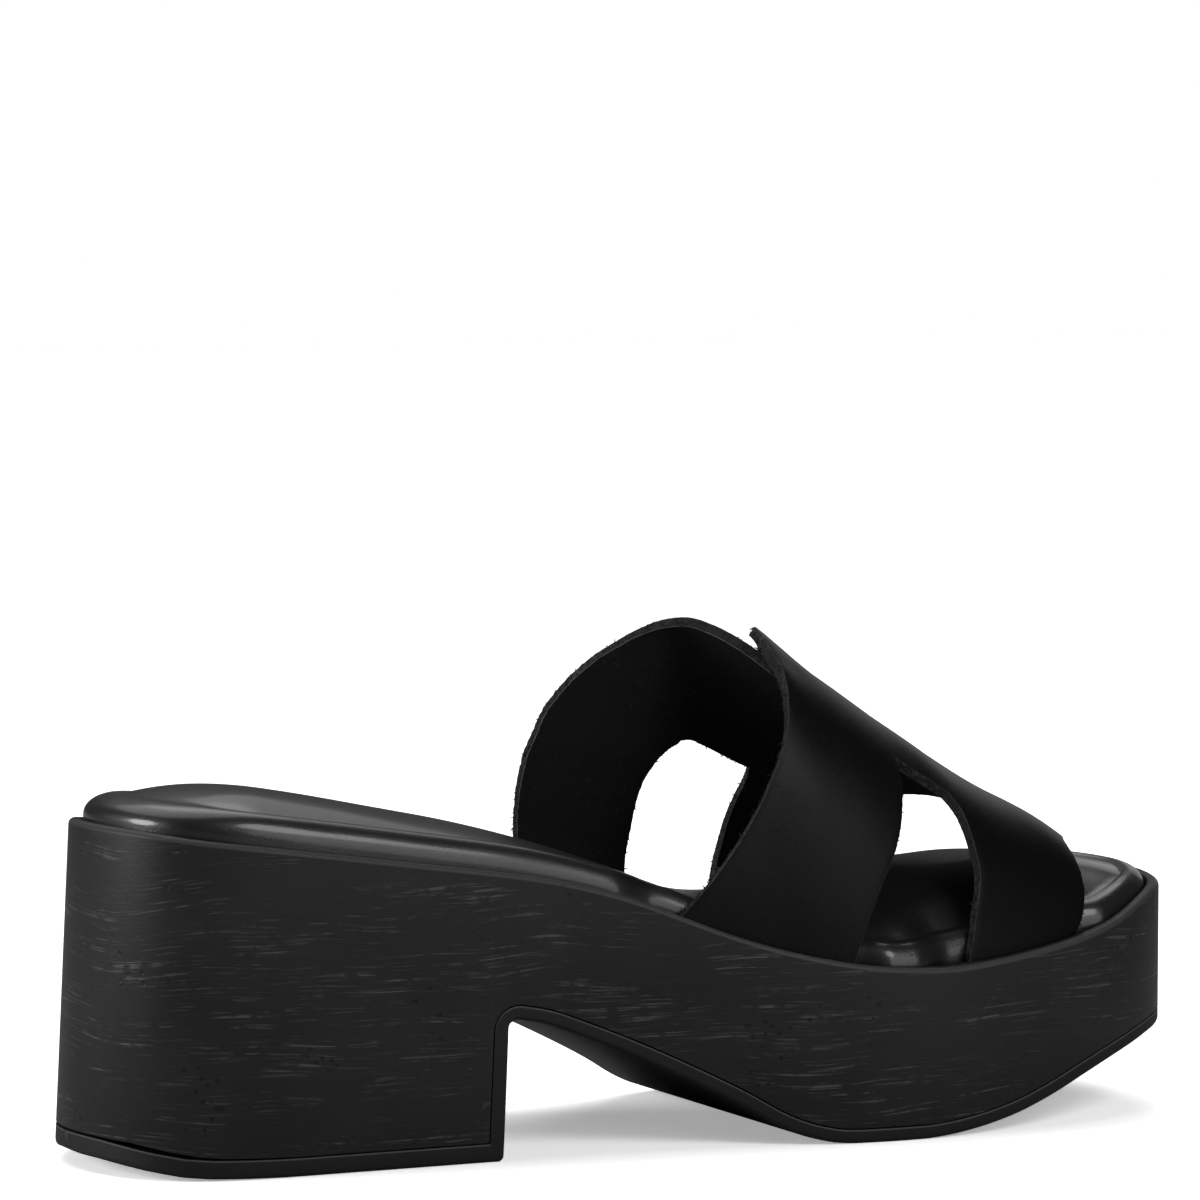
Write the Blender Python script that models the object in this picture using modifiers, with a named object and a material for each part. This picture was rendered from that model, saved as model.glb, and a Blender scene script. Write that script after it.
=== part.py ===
"""Heeled clog, left shoe: a mule with two crossed leather straps on a platform with a block heel.

Metres. +X runs from heel to toe, -Y is the inner (big toe) side, +Z is up.
The origin is on the ground, under the middle of the heel's base.
Side-view lines are laid out in a skewed frame: a line square to the profile leads by SKEW on the
inner side, as the ball of a foot does.
"""

import math

import bmesh
import bpy
import numpy as np
from mathutils import Matrix

# Main sizes
LENGTH = 0.256            # back of the rim to the toe's tip, seen from above
BALL_HALF = 0.0432        # half the sole's width at the ball
HEEL_HEIGHT = 0.0745      # ground to rim at the back
INSTEP_HEIGHT = 0.1134    # ground to the straps' highest point
HEEL_REST = 0.040         # back of the rim to the origin
HEEL_FLARE = 0.0038       # how far the heel's foot stands behind its rim
SKEW = 0.16               # lead of the inner side over the outer, per metre across
UNDER_SKEW = 0.07         # the same under the sole
PIVOT = 0.0355            # distance of the line where both agree, to the inner side

# Sole and outsole
BREAST = 0.0795           # back of the rim to the heel's front face
BREAST_LEAN = 0.0011
ARCH_FILLET = 0.0025
HEEL_LAYER = 0.0041
LAYER = 0.0031
SOLE_EDGE = 0.0010        # rounding of the outsole's lower edge
RIM_WIDTH = 0.0028
RIM_ROUND = 0.0014
WELL_DEPTH = 0.0060

# Insole
ROLL_HEIGHT = 0.0046      # top of the rolled edge above the rim
ROLL_ROUND = 0.0030
CROWN_RISE = 0.0080       # middle of the footbed above its rolled edge

# Upper
STRAP = 0.0024
CROSS_BITE = 0.0004       # depth to which the crossed leathers are fused
UNDER_FREE = 0.92         # girth at which the under strap lies as far out as the outer leather
UNDER_RISE = 0.10
GAP = 0.0003              # between pieces that touch
POCKET_MARGIN = 0.0024    # room beside each strap's foot, along the footbed's edge

# Plan of the rim. along, inner, outer: shares of LENGTH, BALL_HALF, BALL_HALF
OUTLINE = (
    (0.002, 0.14, 0.14),
    (0.006, -0.03, 0.33),
    (0.020, -0.27, 0.51),
    (0.040, -0.45, 0.63),
    (0.060, -0.545, 0.70),
    (0.090, -0.615, 0.75),
    (0.140, -0.655, 0.778),
    (0.200, -0.669, 0.785),
    (0.260, -0.681, 0.78),
    (0.320, -0.692, 0.778),
    (0.400, -0.713, 0.787),
    (0.480, -0.769, 0.829),
    (0.560, -0.866, 0.907),
    (0.620, -0.947, 0.972),
    (0.670, -0.991, 1.009),
    (0.720, -1.000, 1.014),
    (0.780, -0.984, 0.977),
    (0.830, -0.949, 0.912),
    (0.880, -0.889, 0.819),
    (0.920, -0.810, 0.718),
    (0.950, -0.713, 0.602),
    (0.975, -0.579, 0.440),
    (0.990, -0.417, 0.266),
    (1.000, -0.09, -0.09),
)

# Rim in side view. along, height: shares of LENGTH, HEEL_HEIGHT
RIM = (
    (-0.030, 1.000),
    (0.000, 0.999),
    (0.057, 0.973),
    (0.133, 0.937),
    (0.238, 0.884),
    (0.345, 0.826),
    (0.398, 0.783),
    (0.441, 0.733),
    (0.475, 0.685),
    (0.517, 0.627),
    (0.558, 0.581),
    (0.600, 0.546),
    (0.650, 0.520),
    (0.705, 0.510),
    (0.762, 0.527),
    (0.837, 0.565),
    (0.880, 0.600),
    (0.934, 0.666),
    (0.965, 0.692),
    (1.040, 0.715),
)

# Underside from the arch to the toe. way, height: shares of the way from the arch's start to LENGTH,
# and of HEEL_HEIGHT
UNDERSIDE = (
    (0.0000, 0.412),
    (0.0330, 0.397),
    (0.0788, 0.358),
    (0.1526, 0.285),
    (0.2485, 0.176),
    (0.2913, 0.122),
    (0.3312, 0.066),
    (0.3607, 0.034),
    (0.3873, 0.015),
    (0.4139, 0.003),
    (0.4360, 0.000),
    (0.5276, 0.000),
    (0.5645, 0.006),
    (0.6088, 0.021),
    (0.6634, 0.050),
    (0.7195, 0.094),
    (0.7785, 0.149),
    (0.8450, 0.203),
    (0.9114, 0.244),
    (1.0591, 0.290),
)

# Last under the straps. along, crest height, crest side: shares of LENGTH, INSTEP_HEIGHT, BALL_HALF
LAST = (
    (0.420, 1.050, 0.34),
    (0.500, 1.040, 0.30),
    (0.586, 1.012, 0.24),
    (0.635, 0.937, 0.16),
    (0.674, 0.872, 0.10),
    (0.721, 0.792, 0.06),
    (0.768, 0.718, 0.02),
    (0.816, 0.651, 0.00),
    (0.867, 0.589, -0.03),
    (0.897, 0.538, -0.05),
    (0.930, 0.476, -0.07),
    (0.980, 0.380, -0.10),
)

# Outer leather, with a window on its inner side up to WINDOW_TOP. girth, rear, window rear, window
# front, front: share of the way over from the inner foot, then shares of LENGTH
WINDOW_TOP = 0.295
OUTER = (
    (0.000, 0.462, 0.614, 0.723, 0.827),
    (0.040, 0.489, 0.628, 0.732, 0.843),
    (0.080, 0.515, 0.642, 0.739, 0.856),
    (0.160, 0.559, 0.673, 0.752, 0.867),
    (0.240, 0.591, 0.691, 0.753, 0.871),
    (0.280, 0.600, 0.696, 0.745, 0.872),
    (0.295, 0.603, 0.699, 0.699, 0.873),
    (0.360, 0.611, 0.735, 0.735, 0.885),
    (0.430, 0.612, 0.745, 0.745, 0.890),
    (0.500, 0.640, 0.750, 0.750, 0.880),
    (0.600, 0.664, 0.748, 0.748, 0.829),
    (0.645, 0.674, 0.745, 0.745, 0.815),
    (0.700, 0.685, 0.744, 0.744, 0.803),
    (0.773, 0.691, 0.742, 0.742, 0.798),
    (0.840, 0.683, 0.738, 0.738, 0.796),
    (0.920, 0.674, 0.733, 0.733, 0.794),
    (1.000, 0.668, 0.730, 0.730, 0.793),
)

# Under strap, from beneath the outer leather to the outer foot. girth, rear, front
UNDER = (
    (0.400, 0.628, 0.740),
    (0.500, 0.602, 0.730),
    (0.600, 0.566, 0.715),
    (0.650, 0.543, 0.708),
    (0.700, 0.516, 0.704),
    (0.748, 0.493, 0.700),
    (0.757, 0.489, 0.678),
    (0.764, 0.486, 0.630),
    (0.785, 0.478, 0.614),
    (0.820, 0.469, 0.595),
    (0.850, 0.463, 0.584),
    (0.900, 0.460, 0.578),
    (1.000, 0.466, 0.570),
)

# Heel's underside, rolled up at the back. along, height: shares of BREAST, HEEL_HEIGHT
HEEL_ROLL = (
    (-0.097, 0.056),
    (0.000, 0.047),
    (0.075, 0.028),
    (0.152, 0.012),
    (0.214, 0.006),
    (0.318, 0.002),
    (0.405, 0.000),
)

# Footbed along the foot. along, rise of its middle over its edge, height of its edge over the rim:
# shares of LENGTH, CROWN_RISE, ROLL_HEIGHT
FOOTBED = (
    (0.00, 0.50, 1.30),
    (0.06, 0.64, 1.48),
    (0.18, 0.56, 1.42),
    (0.30, 0.38, 1.32),
    (0.42, 0.22, 1.20),
    (0.50, 0.30, 1.14),
    (0.56, 0.50, 1.08),
    (0.62, 0.85, 1.05),
    (0.68, 1.20, 1.15),
    (0.75, 1.45, 1.30),
    (0.81, 1.40, 1.25),
    (0.86, 1.20, 1.10),
    (0.94, 0.65, 0.80),
    (1.00, 0.25, 0.50),
)

FULLNESS = (2.1, 2.1)     # of the last's inner and outer half; 2 is an ellipse, more is squarer

# Fineness of the faces
CURVE_STEPS = 2           # points of the sole's outline to a row of its table
FINE_STEPS = 12
SIDE_POINTS = 34
CORNER_POINTS = 5
END_REACH = 0.014         # length over which the outsole's ends are cut finer
END_SHARES = (0.10, 0.22, 0.36, 0.52, 0.68, 0.84)
CROWN_RINGS = (0.3, 0.65)
STRAP_LONG = 26           # faces along a strap above the window, across a strap, and along an arm
STRAP_WIDE = 5
ARM_LONG = 10
FOOT_GIRTH = 0.16         # share of the way over that a pocket for a strap's foot takes in
FOOT_FACES = 5

SOLE_COLOUR = (0.016, 0.017, 0.018)
RUBBER_COLOUR = (0.012, 0.012, 0.013)
LINING_COLOUR = (0.010, 0.010, 0.011)
LEATHER_COLOUR = (0.008, 0.008, 0.009)


def clear_scene():
    """Remove whatever the open file holds."""
    for item in list(bpy.data.objects):
        bpy.data.objects.remove(item, do_unlink=True)


def make_collection(name):
    """Collection linked to the scene."""
    group = bpy.data.collections.new(name)
    bpy.context.scene.collection.children.link(group)
    return group


def make_material(name, colour, roughness, metallic=0.0):
    """Plain finish with one colour."""
    material = bpy.data.materials.new(name)
    material.use_nodes = True
    shader = material.node_tree.nodes["Principled BSDF"]
    shader.inputs["Base Color"].default_value = (*colour, 1.0)
    shader.inputs["Roughness"].default_value = roughness
    shader.inputs["Metallic"].default_value = metallic
    return material


def make_object(name, vertices, faces, group, material=None):
    """Mesh object from vertices and faces, all faces outward."""
    mesh = bpy.data.meshes.new(name)
    mesh.from_pydata([tuple(v) for v in vertices], [], faces)
    shape = bmesh.new()
    shape.from_mesh(mesh)
    bmesh.ops.recalc_face_normals(shape, faces=shape.faces)
    shape.to_mesh(mesh)
    shape.free()
    item = bpy.data.objects.new(name, mesh)
    group.objects.link(item)
    if material:
        mesh.materials.append(material)
    return item


def hermite(t, start, end, leave, arrive):
    """Cubic between two values with given slopes."""
    return ((2 * t**3 - 3 * t**2 + 1) * start + (t**3 - 2 * t**2 + t) * leave
            + (-2 * t**3 + 3 * t**2) * end + (t**3 - t**2) * arrive)


def through(table, at, column=1):
    """Smooth value from a table, without overshoot between its rows."""
    rows = np.array(table, float)
    x = rows[:, 0]
    y = rows[:, column]
    step = np.diff(x)
    slope = np.diff(y) / step
    tangent = np.concatenate([slope[:1], np.zeros(len(x) - 2), slope[-1:]])
    for i in range(1, len(x) - 1):
        if slope[i - 1] * slope[i] > 0:
            near = 2 * step[i] + step[i - 1]
            far = step[i] + 2 * step[i - 1]
            tangent[i] = (near + far) / (near / slope[i - 1] + far / slope[i])
    at = np.clip(np.asarray(at, float), x[0], x[-1])
    i = np.clip(np.searchsorted(x, at) - 1, 0, len(x) - 2)
    return hermite((at - x[i]) / step[i], y[i], y[i + 1], step[i] * tangent[i], step[i] * tangent[i + 1])


def closed_curve(corners, steps):
    """Smooth closed curve through points, with steps points to a span."""
    corners = np.array(corners, float)
    following = np.roll(corners, -1, axis=0)
    span = np.sqrt(np.linalg.norm(following - corners, axis=1))[:, None]
    chord = (following - corners) / span
    before = np.roll(span, 1, axis=0)
    tangent = (np.roll(chord, 1, axis=0) * span + chord * before) / (before + span)
    arriving = np.roll(tangent, -1, axis=0)
    parts = [hermite(k / steps, corners, following, span * tangent, span * arriving) for k in range(steps)]
    return np.stack(parts, axis=1).reshape(-1, 2)


def outline(steps):
    """Plan of the rim, from the heel's back along the inner side to the toe and back."""
    inner = [(along * LENGTH, side * BALL_HALF) for along, side, _ in OUTLINE]
    outer = [(along * LENGTH, side * BALL_HALF) for along, _, side in OUTLINE[-2:0:-1]]
    return closed_curve(inner + outer, steps)


def inset(ring, depth):
    """Ring moved inwards by a depth."""
    along = np.roll(ring, -1, axis=0) - np.roll(ring, 1, axis=0)
    along = along / np.linalg.norm(along, axis=1)[:, None]
    return ring + depth * np.column_stack([-along[:, 1], along[:, 0]])


def rim_height(plan):
    """Height of the rim over points of the plan."""
    return HEEL_HEIGHT * through(RIM, (plan[:, 0] + SKEW * plan[:, 1]) / LENGTH)


def lead(side, skew):
    """How far forward a line square to the profile has come, at a distance to the outer side."""
    return SKEW * PIVOT - skew * (side + PIVOT)


def flared(points):
    """Points of the sole, with the heel's foot let out behind its rim."""
    points = np.array(points, float)
    along = points[:, 0] - lead(points[:, 1], UNDER_SKEW)
    behind = np.clip(1 - along / (BREAST - LAYER - GAP), 0, None)
    points[:, 0] -= HEEL_FLARE * (1 - points[:, 2] / HEEL_HEIGHT) * behind
    return points


def placed(points):
    """Points moved from the back of the rim to the part's own origin."""
    return np.asarray(points, float) - (HEEL_REST, 0, 0)


def stack(rings):
    """Vertices and faces of rings laid on each other, closed across at both ends."""
    count = len(rings[0])
    half = count // 2
    faces = []
    for low in range(0, (len(rings) - 1) * count, count):
        for i in range(count):
            j = (i + 1) % count
            faces.append((low + i, low + j, low + count + j, low + count + i))
    for base in (0, (len(rings) - 1) * count):
        faces.append((base, base + 1, base + count - 1))
        faces.append((base + half - 1, base + half, base + half + 1))
        for i in range(1, half - 1):
            faces.append((base + i, base + i + 1, base + count - i - 1, base + count - i))
    return np.vstack(rings), faces


def cut(item, cutter, operation="DIFFERENCE"):
    """Boolean of one object by another."""
    step = item.modifiers.new(cutter.name, "BOOLEAN")
    step.operation = operation
    step.solver = "EXACT"
    step.object = cutter


def hidden(item):
    """Mark a cutter as one."""
    item.hide_render = True
    item.display_type = "WIRE"
    return item


def side_line(heel_layer, layer):
    """Line in side view from heel to toe, lying a layer inside the underside."""
    start = BREAST + BREAST_LEAN + ARCH_FILLET
    way = np.linspace(UNDERSIDE[0][0], UNDERSIDE[-1][0], SIDE_POINTS)
    along = start + way * (LENGTH - start)
    low = HEEL_HEIGHT * through(UNDERSIDE, way)
    slope = np.gradient(low, along)
    steep = np.sqrt(1 + slope**2)
    arch = np.column_stack([along - layer * slope / steep, low + layer / steep])
    heel = np.array(HEEL_ROLL) * (BREAST, HEEL_HEIGHT)
    heel[:, 1] += heel_layer
    turn = np.linspace(math.pi, math.pi / 2, CORNER_POINTS)
    reach = ARCH_FILLET + layer
    corner = np.column_stack([np.cos(turn), np.sin(turn)]) * reach
    corner += (start, low[0] - ARCH_FILLET)
    if layer:
        foot = [(BREAST - layer, heel_layer)]
    else:
        turn = np.linspace(-math.pi / 2, 0, CORNER_POINTS)
        foot = np.column_stack([np.cos(turn), np.sin(turn)]) * SOLE_EDGE
        foot += (BREAST - SOLE_EDGE, SOLE_EDGE)
    return np.vstack([heel, foot, corner[:-1], arch])


def skewed_sides(ring, skew=SKEW):
    """Inner and outer edge of a plan, as along and side in the skewed frame, each from heel to toe."""
    plan = np.column_stack([ring[:, 0] - lead(ring[:, 1], skew), ring[:, 1]])
    plan = np.roll(plan, -int(plan[:, 0].argmin()), axis=0)
    toe = int(plan[:, 0].argmax())
    return plan[:toe + 1], np.vstack([plan[:1], plan[:toe - 1:-1]])


def make_sole(group, cutters, material):
    """Moulded block: platform, arch and block heel, with a rim round a well."""
    ring = outline(CURVE_STEPS)

    def level(depth, drop):
        plan = inset(ring, depth)
        return flared(np.column_stack([plan, rim_height(plan) - drop]))

    foot = flared(np.column_stack([ring, np.full(len(ring), -HEEL_LAYER)]))
    bevel = RIM_ROUND * (1 - math.sqrt(0.5))
    rings = [
        foot,
        level(0, RIM_ROUND),
        level(bevel, bevel),
        level(RIM_ROUND, 0),
        level(RIM_WIDTH, 0),
        level(RIM_WIDTH, WELL_DEPTH),
    ]
    vertices, faces = stack(rings)
    sole = make_object("sole", placed(vertices), faces, group, material)
    cut(sole, make_under_cutter(cutters))
    return sole


def make_under_cutter(cutters):
    """Everything below the sole: the side line drawn out across the foot along the skew."""
    line = side_line(HEEL_LAYER + GAP, LAYER + GAP)
    curve = bpy.data.curves.new("under", "CURVE")
    curve.dimensions = "2D"
    curve.fill_mode = "BOTH"
    curve.extrude = 2 * BALL_HALF
    corners = np.vstack([line, [(line[-1, 0], -HEEL_HEIGHT), (line[0, 0], -HEEL_HEIGHT)]])
    spline = curve.splines.new("POLY")
    spline.points.add(len(corners) - 1)
    for point, (x, z) in zip(spline.points, corners):
        point.co = (x, z, 0, 1)
    spline.use_cyclic_u = True
    drawn = bpy.data.objects.new("under_line", curve)
    cutters.objects.link(drawn)
    middle = lead(0, UNDER_SKEW) - HEEL_REST
    upright = Matrix(((1, 0, UNDER_SKEW, middle), (0, 0, -1, 0), (0, 1, 0, 0), (0, 0, 0, 1)))
    bpy.context.view_layer.update()
    mesh = bpy.data.meshes.new_from_object(drawn.evaluated_get(bpy.context.evaluated_depsgraph_get()))
    bpy.data.objects.remove(drawn, do_unlink=True)
    shape = bmesh.new()
    shape.from_mesh(mesh)
    bmesh.ops.transform(shape, matrix=upright, verts=shape.verts)
    bmesh.ops.remove_doubles(shape, verts=shape.verts, dist=GAP / 10)
    bmesh.ops.recalc_face_normals(shape, faces=shape.faces)
    shape.to_mesh(mesh)
    shape.free()
    cutter = bpy.data.objects.new("under", mesh)
    cutters.objects.link(cutter)
    return hidden(cutter)


def make_outsole(group, material):
    """Thin layer under heel, breast, arch and forefoot, as sections across the skewed frame."""
    inner, outer = skewed_sides(outline(FINE_STEPS), UNDER_SKEW)
    under = side_line(0, 0)
    seam = side_line(HEEL_LAYER, LAYER)
    start = inner[0, 0]
    end = inner[-1, 0]
    ends = END_REACH * np.array(END_SHARES) ** 2
    between = np.arange(start + END_REACH, BREAST - LAYER, END_REACH)
    corner = seam[:len(HEEL_ROLL) + CORNER_POINTS + 1, 0]
    places = np.concatenate([start + ends, between, under[:, 0], corner, end - ends])
    places = np.unique(places[(places > start) & (places < end)])
    places = places[np.concatenate([[True], np.diff(places) > GAP / 4])]
    rings = []
    for place in places:
        side_in = np.interp(place, inner[:, 0], inner[:, 1])
        side_out = np.interp(place, outer[:, 0], outer[:, 1])
        reach = min(place - start, end - place, SOLE_EDGE)
        lift = SOLE_EDGE - math.sqrt(SOLE_EDGE**2 - (SOLE_EDGE - reach) ** 2)
        low = np.interp(place, under[:, 0], under[:, 1]) + lift
        high = np.interp(place, seam[:, 0], seam[:, 1])
        edge = min(SOLE_EDGE - lift, (side_out - side_in) / 3)
        bevel = edge * (1 - math.sqrt(0.5))
        section = [
            (side_in, high),
            (side_in, low + edge),
            (side_in + bevel, low + bevel),
            (side_in + edge, low),
            (side_out - edge, low),
            (side_out - bevel, low + bevel),
            (side_out, low + edge),
            (side_out, high),
        ]
        rings.append([(place + lead(side, UNDER_SKEW), side, z) for side, z in section])
    count = len(rings[0])
    faces = [tuple(range(count)), tuple(range((len(rings) - 1) * count, len(rings) * count))]
    for low in range(0, (len(rings) - 1) * count, count):
        for i in range(count):
            j = (i + 1) % count
            faces.append((low + i, low + j, low + count + j, low + count + i))
    return make_object("outsole", placed(flared(np.vstack(rings))), faces, group, material)


def make_insole(group, cutters, material):
    """Padded footbed with a rolled edge, stepped back where the straps pass down beside it."""
    ring = outline(CURVE_STEPS)
    side = RIM_WIDTH + GAP
    floor = 2 * GAP - WELL_DEPTH
    bevel = ROLL_ROUND * (1 - math.sqrt(0.5))

    def level(depth, rise, lift=0.0):
        plan = inset(ring, depth)
        share = (plan[:, 0] + SKEW * plan[:, 1]) / LENGTH
        edge = ROLL_HEIGHT * lift * through(FOOTBED, share, 2)
        return np.column_stack([plan, rim_height(plan) + rise + edge])

    rings = [
        level(side + SOLE_EDGE, floor),
        level(side, floor + SOLE_EDGE),
        level(side, -ROLL_ROUND, 1),
        level(side + bevel, -bevel, 1),
        level(side + ROLL_ROUND, 0, 1),
    ]
    edge = inset(ring, side + ROLL_ROUND)
    half = len(edge) // 2
    inner = edge[:half + 1]
    outer = np.vstack([edge[:1], edge[:half - 1:-1]])
    spine_x = np.clip(edge[:, 0], BALL_HALF, LENGTH - BALL_HALF)
    spine_y = (np.interp(spine_x, inner[:, 0], inner[:, 1]) + np.interp(spine_x, outer[:, 0], outer[:, 1])) / 2
    spine = np.column_stack([spine_x, spine_y])
    for share in CROWN_RINGS:
        plan = edge + share * (spine - edge)
        along = (plan[:, 0] + SKEW * plan[:, 1]) / LENGTH
        rise = ROLL_HEIGHT * through(FOOTBED, along, 2)
        rise += CROWN_RISE * through(FOOTBED, along, 1) * (1 - (1 - share) ** 2)
        rings.append(np.column_stack([plan, rim_height(plan) + rise]))
    vertices, faces = stack(rings)
    insole = make_object("insole", placed(vertices), faces, group, material)
    feet = (
        ("inner_rear", OUTER, 1, 2, 0),
        ("inner_front", OUTER, 3, 4, 0),
        ("outer_front", OUTER, 1, 4, 1),
        ("outer_rear", UNDER, 1, 2, 1),
    )
    for name, table, rear, front, foot in feet:
        girth = np.linspace(foot, foot + FOOT_GIRTH * (1 - 2 * foot), FOOT_FACES + 1)
        shape = bmesh.new()
        margin = POCKET_MARGIN / LENGTH
        add_panel(shape, girth, through(table, girth, rear) - margin, through(table, girth, front) + margin,
                  STRAP_WIDE, out=GAP, deeper=2 * GAP)
        pocket = make_leather("pocket_" + name, shape, cutters, None, STRAP + 4 * GAP)
        cut(insole, hidden(pocket))
    return insole


def last_surface(along, girth):
    """Middle of the leather: along in the skewed frame, girth from 0, inner foot, to 1, outer foot."""
    plan = inset(outline(FINE_STEPS), RIM_WIDTH + GAP + STRAP / 2)
    inner, outer = skewed_sides(plan)
    share = along / LENGTH
    crest = INSTEP_HEIGHT * through(LAST, share, 1)
    middle = BALL_HALF * through(LAST, share, 2)
    foot = HEEL_HEIGHT * through(RIM, share) - WELL_DEPTH + GAP
    turn = math.pi * np.clip(girth, 0, 1)
    near = np.interp(along, inner[:, 0], inner[:, 1]) - middle
    far = np.interp(along, outer[:, 0], outer[:, 1]) - middle
    power = np.where(girth < 0.5, 2 / FULLNESS[0], 2 / FULLNESS[1])
    side = middle + np.where(girth < 0.5, near, far) * np.abs(np.cos(turn)) ** power
    high = foot + (crest - foot) * np.abs(np.sin(turn)) ** power
    return np.stack([along - SKEW * side, side, high], axis=-1)


def last_normal(along, girth):
    """Outward direction of the leather."""
    step = GAP
    forward = last_surface(along + step, girth) - last_surface(along - step, girth)
    turn = step / BALL_HALF
    over = last_surface(along, np.clip(girth + turn, 0, 1)) - last_surface(along, np.clip(girth - turn, 0, 1))
    normal = np.cross(forward, over)
    return normal / np.linalg.norm(normal, axis=-1, keepdims=True)


def add_panel(shape, girth, rear, front, wide, out=0.0, deeper=0.0):
    """Add a patch of leather between two edges, as a grid on the last."""
    share = np.linspace(0, 1, wide + 1)
    along = LENGTH * (rear[:, None] + (front - rear)[:, None] * share)
    over = np.repeat(girth[:, None], wide + 1, axis=1)
    grid = last_surface(along, over) + last_normal(along, over) * np.reshape(out, (-1, 1, 1))
    grid[:, :, 2] -= deeper * (np.minimum(over, 1 - over) < GAP)
    points = [[shape.verts.new(point) for point in placed(row)] for row in grid]
    for low, high in zip(points[:-1], points[1:]):
        for j in range(wide):
            shape.faces.new((low[j], low[j + 1], high[j + 1], high[j]))


def make_leather(name, shape, group, material, thickness):
    """Sheet of leather from its panels, given its wall."""
    bmesh.ops.remove_doubles(shape, verts=shape.verts, dist=GAP / 10)
    bmesh.ops.recalc_face_normals(shape, faces=shape.faces)
    mesh = bpy.data.meshes.new(name)
    shape.to_mesh(mesh)
    shape.free()
    sheet = bpy.data.objects.new(name, mesh)
    group.objects.link(sheet)
    if material:
        mesh.materials.append(material)
    wall = sheet.modifiers.new("wall", "SOLIDIFY")
    wall.thickness = thickness
    wall.offset = 0
    wall.use_even_offset = True
    return sheet


def make_upper(group, cutters, material):
    """Outer leather over an under strap, fused where they cross on the instep."""
    girth = np.linspace(0, WINDOW_TOP, ARM_LONG + 1)
    outer = bmesh.new()
    add_panel(outer, girth, through(OUTER, girth, 1), through(OUTER, girth, 2), STRAP_WIDE)
    add_panel(outer, girth, through(OUTER, girth, 3), through(OUTER, girth, 4), STRAP_WIDE)
    girth = np.linspace(WINDOW_TOP, 1, STRAP_LONG + 1)
    middle = through(OUTER, girth, 2)
    add_panel(outer, girth, through(OUTER, girth, 1), middle, STRAP_WIDE)
    add_panel(outer, girth, middle, through(OUTER, girth, 4), STRAP_WIDE)
    upper = make_leather("upper", outer, group, material, STRAP)
    girth = np.linspace(UNDER[0][0], 1, STRAP_LONG + 1)
    sunk = (STRAP - CROSS_BITE) * np.clip((UNDER_FREE - girth) / UNDER_RISE, 0, 1)
    under = bmesh.new()
    add_panel(under, girth, through(UNDER, girth, 1), through(UNDER, girth, 2), STRAP_WIDE, out=-sunk)
    cut(upper, hidden(make_leather("under_strap", under, cutters, None, STRAP)), "UNION")
    return upper


def main():
    """Build the clog."""
    clear_scene()
    group = make_collection("heeled_clog")
    cutters = make_collection("cutters")
    make_sole(group, cutters, make_material("sole_block", SOLE_COLOUR, 0.5))
    make_outsole(group, make_material("outsole_rubber", RUBBER_COLOUR, 0.6))
    make_insole(group, cutters, make_material("insole_leather", LINING_COLOUR, 0.25))
    make_upper(group, cutters, make_material("strap_leather", LEATHER_COLOUR, 0.35))


main()
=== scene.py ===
"""Heeled clog, left shoe: finished surfaces, raw leather edges and a small studio.

Metres. +X runs from heel to toe, -Y is the inner (big toe) side, +Z is up.
The origin is on the ground, under the middle of the heel's base.
"""

import math
from functools import cache

import bmesh
import bpy
import numpy as np
from bpy.props import FloatProperty, FloatVectorProperty, IntProperty, PointerProperty
from mathutils import Matrix, Vector


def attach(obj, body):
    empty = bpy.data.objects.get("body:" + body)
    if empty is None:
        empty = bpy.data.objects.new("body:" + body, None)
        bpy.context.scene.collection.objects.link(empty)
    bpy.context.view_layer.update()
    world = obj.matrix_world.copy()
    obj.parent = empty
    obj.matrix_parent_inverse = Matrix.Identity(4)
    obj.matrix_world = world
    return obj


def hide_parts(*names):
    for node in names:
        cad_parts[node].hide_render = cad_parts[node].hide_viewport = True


bl_info = {
    "name": "Heeled Clog",
    "version": (1, 0, 0),
    "blender": (4, 5, 0),
    "location": "View3D > Sidebar > Clog",
    "description": "Block-heeled clog with crossed leather straps, a glossy footbed and a plain studio",
    "category": "Object",
}

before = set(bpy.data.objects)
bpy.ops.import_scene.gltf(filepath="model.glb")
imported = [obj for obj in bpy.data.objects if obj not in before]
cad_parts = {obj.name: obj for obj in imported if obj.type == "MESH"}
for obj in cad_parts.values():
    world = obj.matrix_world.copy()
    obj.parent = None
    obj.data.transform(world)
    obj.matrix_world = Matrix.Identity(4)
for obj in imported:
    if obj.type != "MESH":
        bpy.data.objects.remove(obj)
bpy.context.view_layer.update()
BODY = "root"

# Main sizes
LENGTH = 0.256            # back of the rim to the toe's tip, seen from above
BALL_HALF = 0.0432        # half the sole's width at the ball
HEEL_HEIGHT = 0.0745      # ground to rim at the back
INSTEP_HEIGHT = 0.1134    # ground to the straps' highest point
HEEL_REST = 0.040         # back of the rim to the origin
HEEL_FLARE = 0.0038       # how far the heel's foot stands behind its rim
SKEW = 0.16               # lead of the inner side over the outer, per metre across
UNDER_SKEW = 0.07         # the same under the sole
PIVOT = 0.0355            # distance of the line where both agree, to the inner side

# Sole and outsole
BREAST = 0.0795           # back of the rim to the heel's front face
BREAST_LEAN = 0.0011      # how far the front face leans forward up to the arch
ARCH_FILLET = 0.0025
HEEL_LAYER = 0.0041       # outsole under the heel
LAYER = 0.0031            # outsole elsewhere
SOLE_EDGE = 0.0010        # rounding of the outsole's lower edge
RIM_WIDTH = 0.0028
RIM_ROUND = 0.0014
WELL_DEPTH = 0.0060

# Insole
ROLL_HEIGHT = 0.0046      # top of the rolled edge above the rim
CROWN_RISE = 0.0080       # middle of the footbed above its rolled edge

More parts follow.
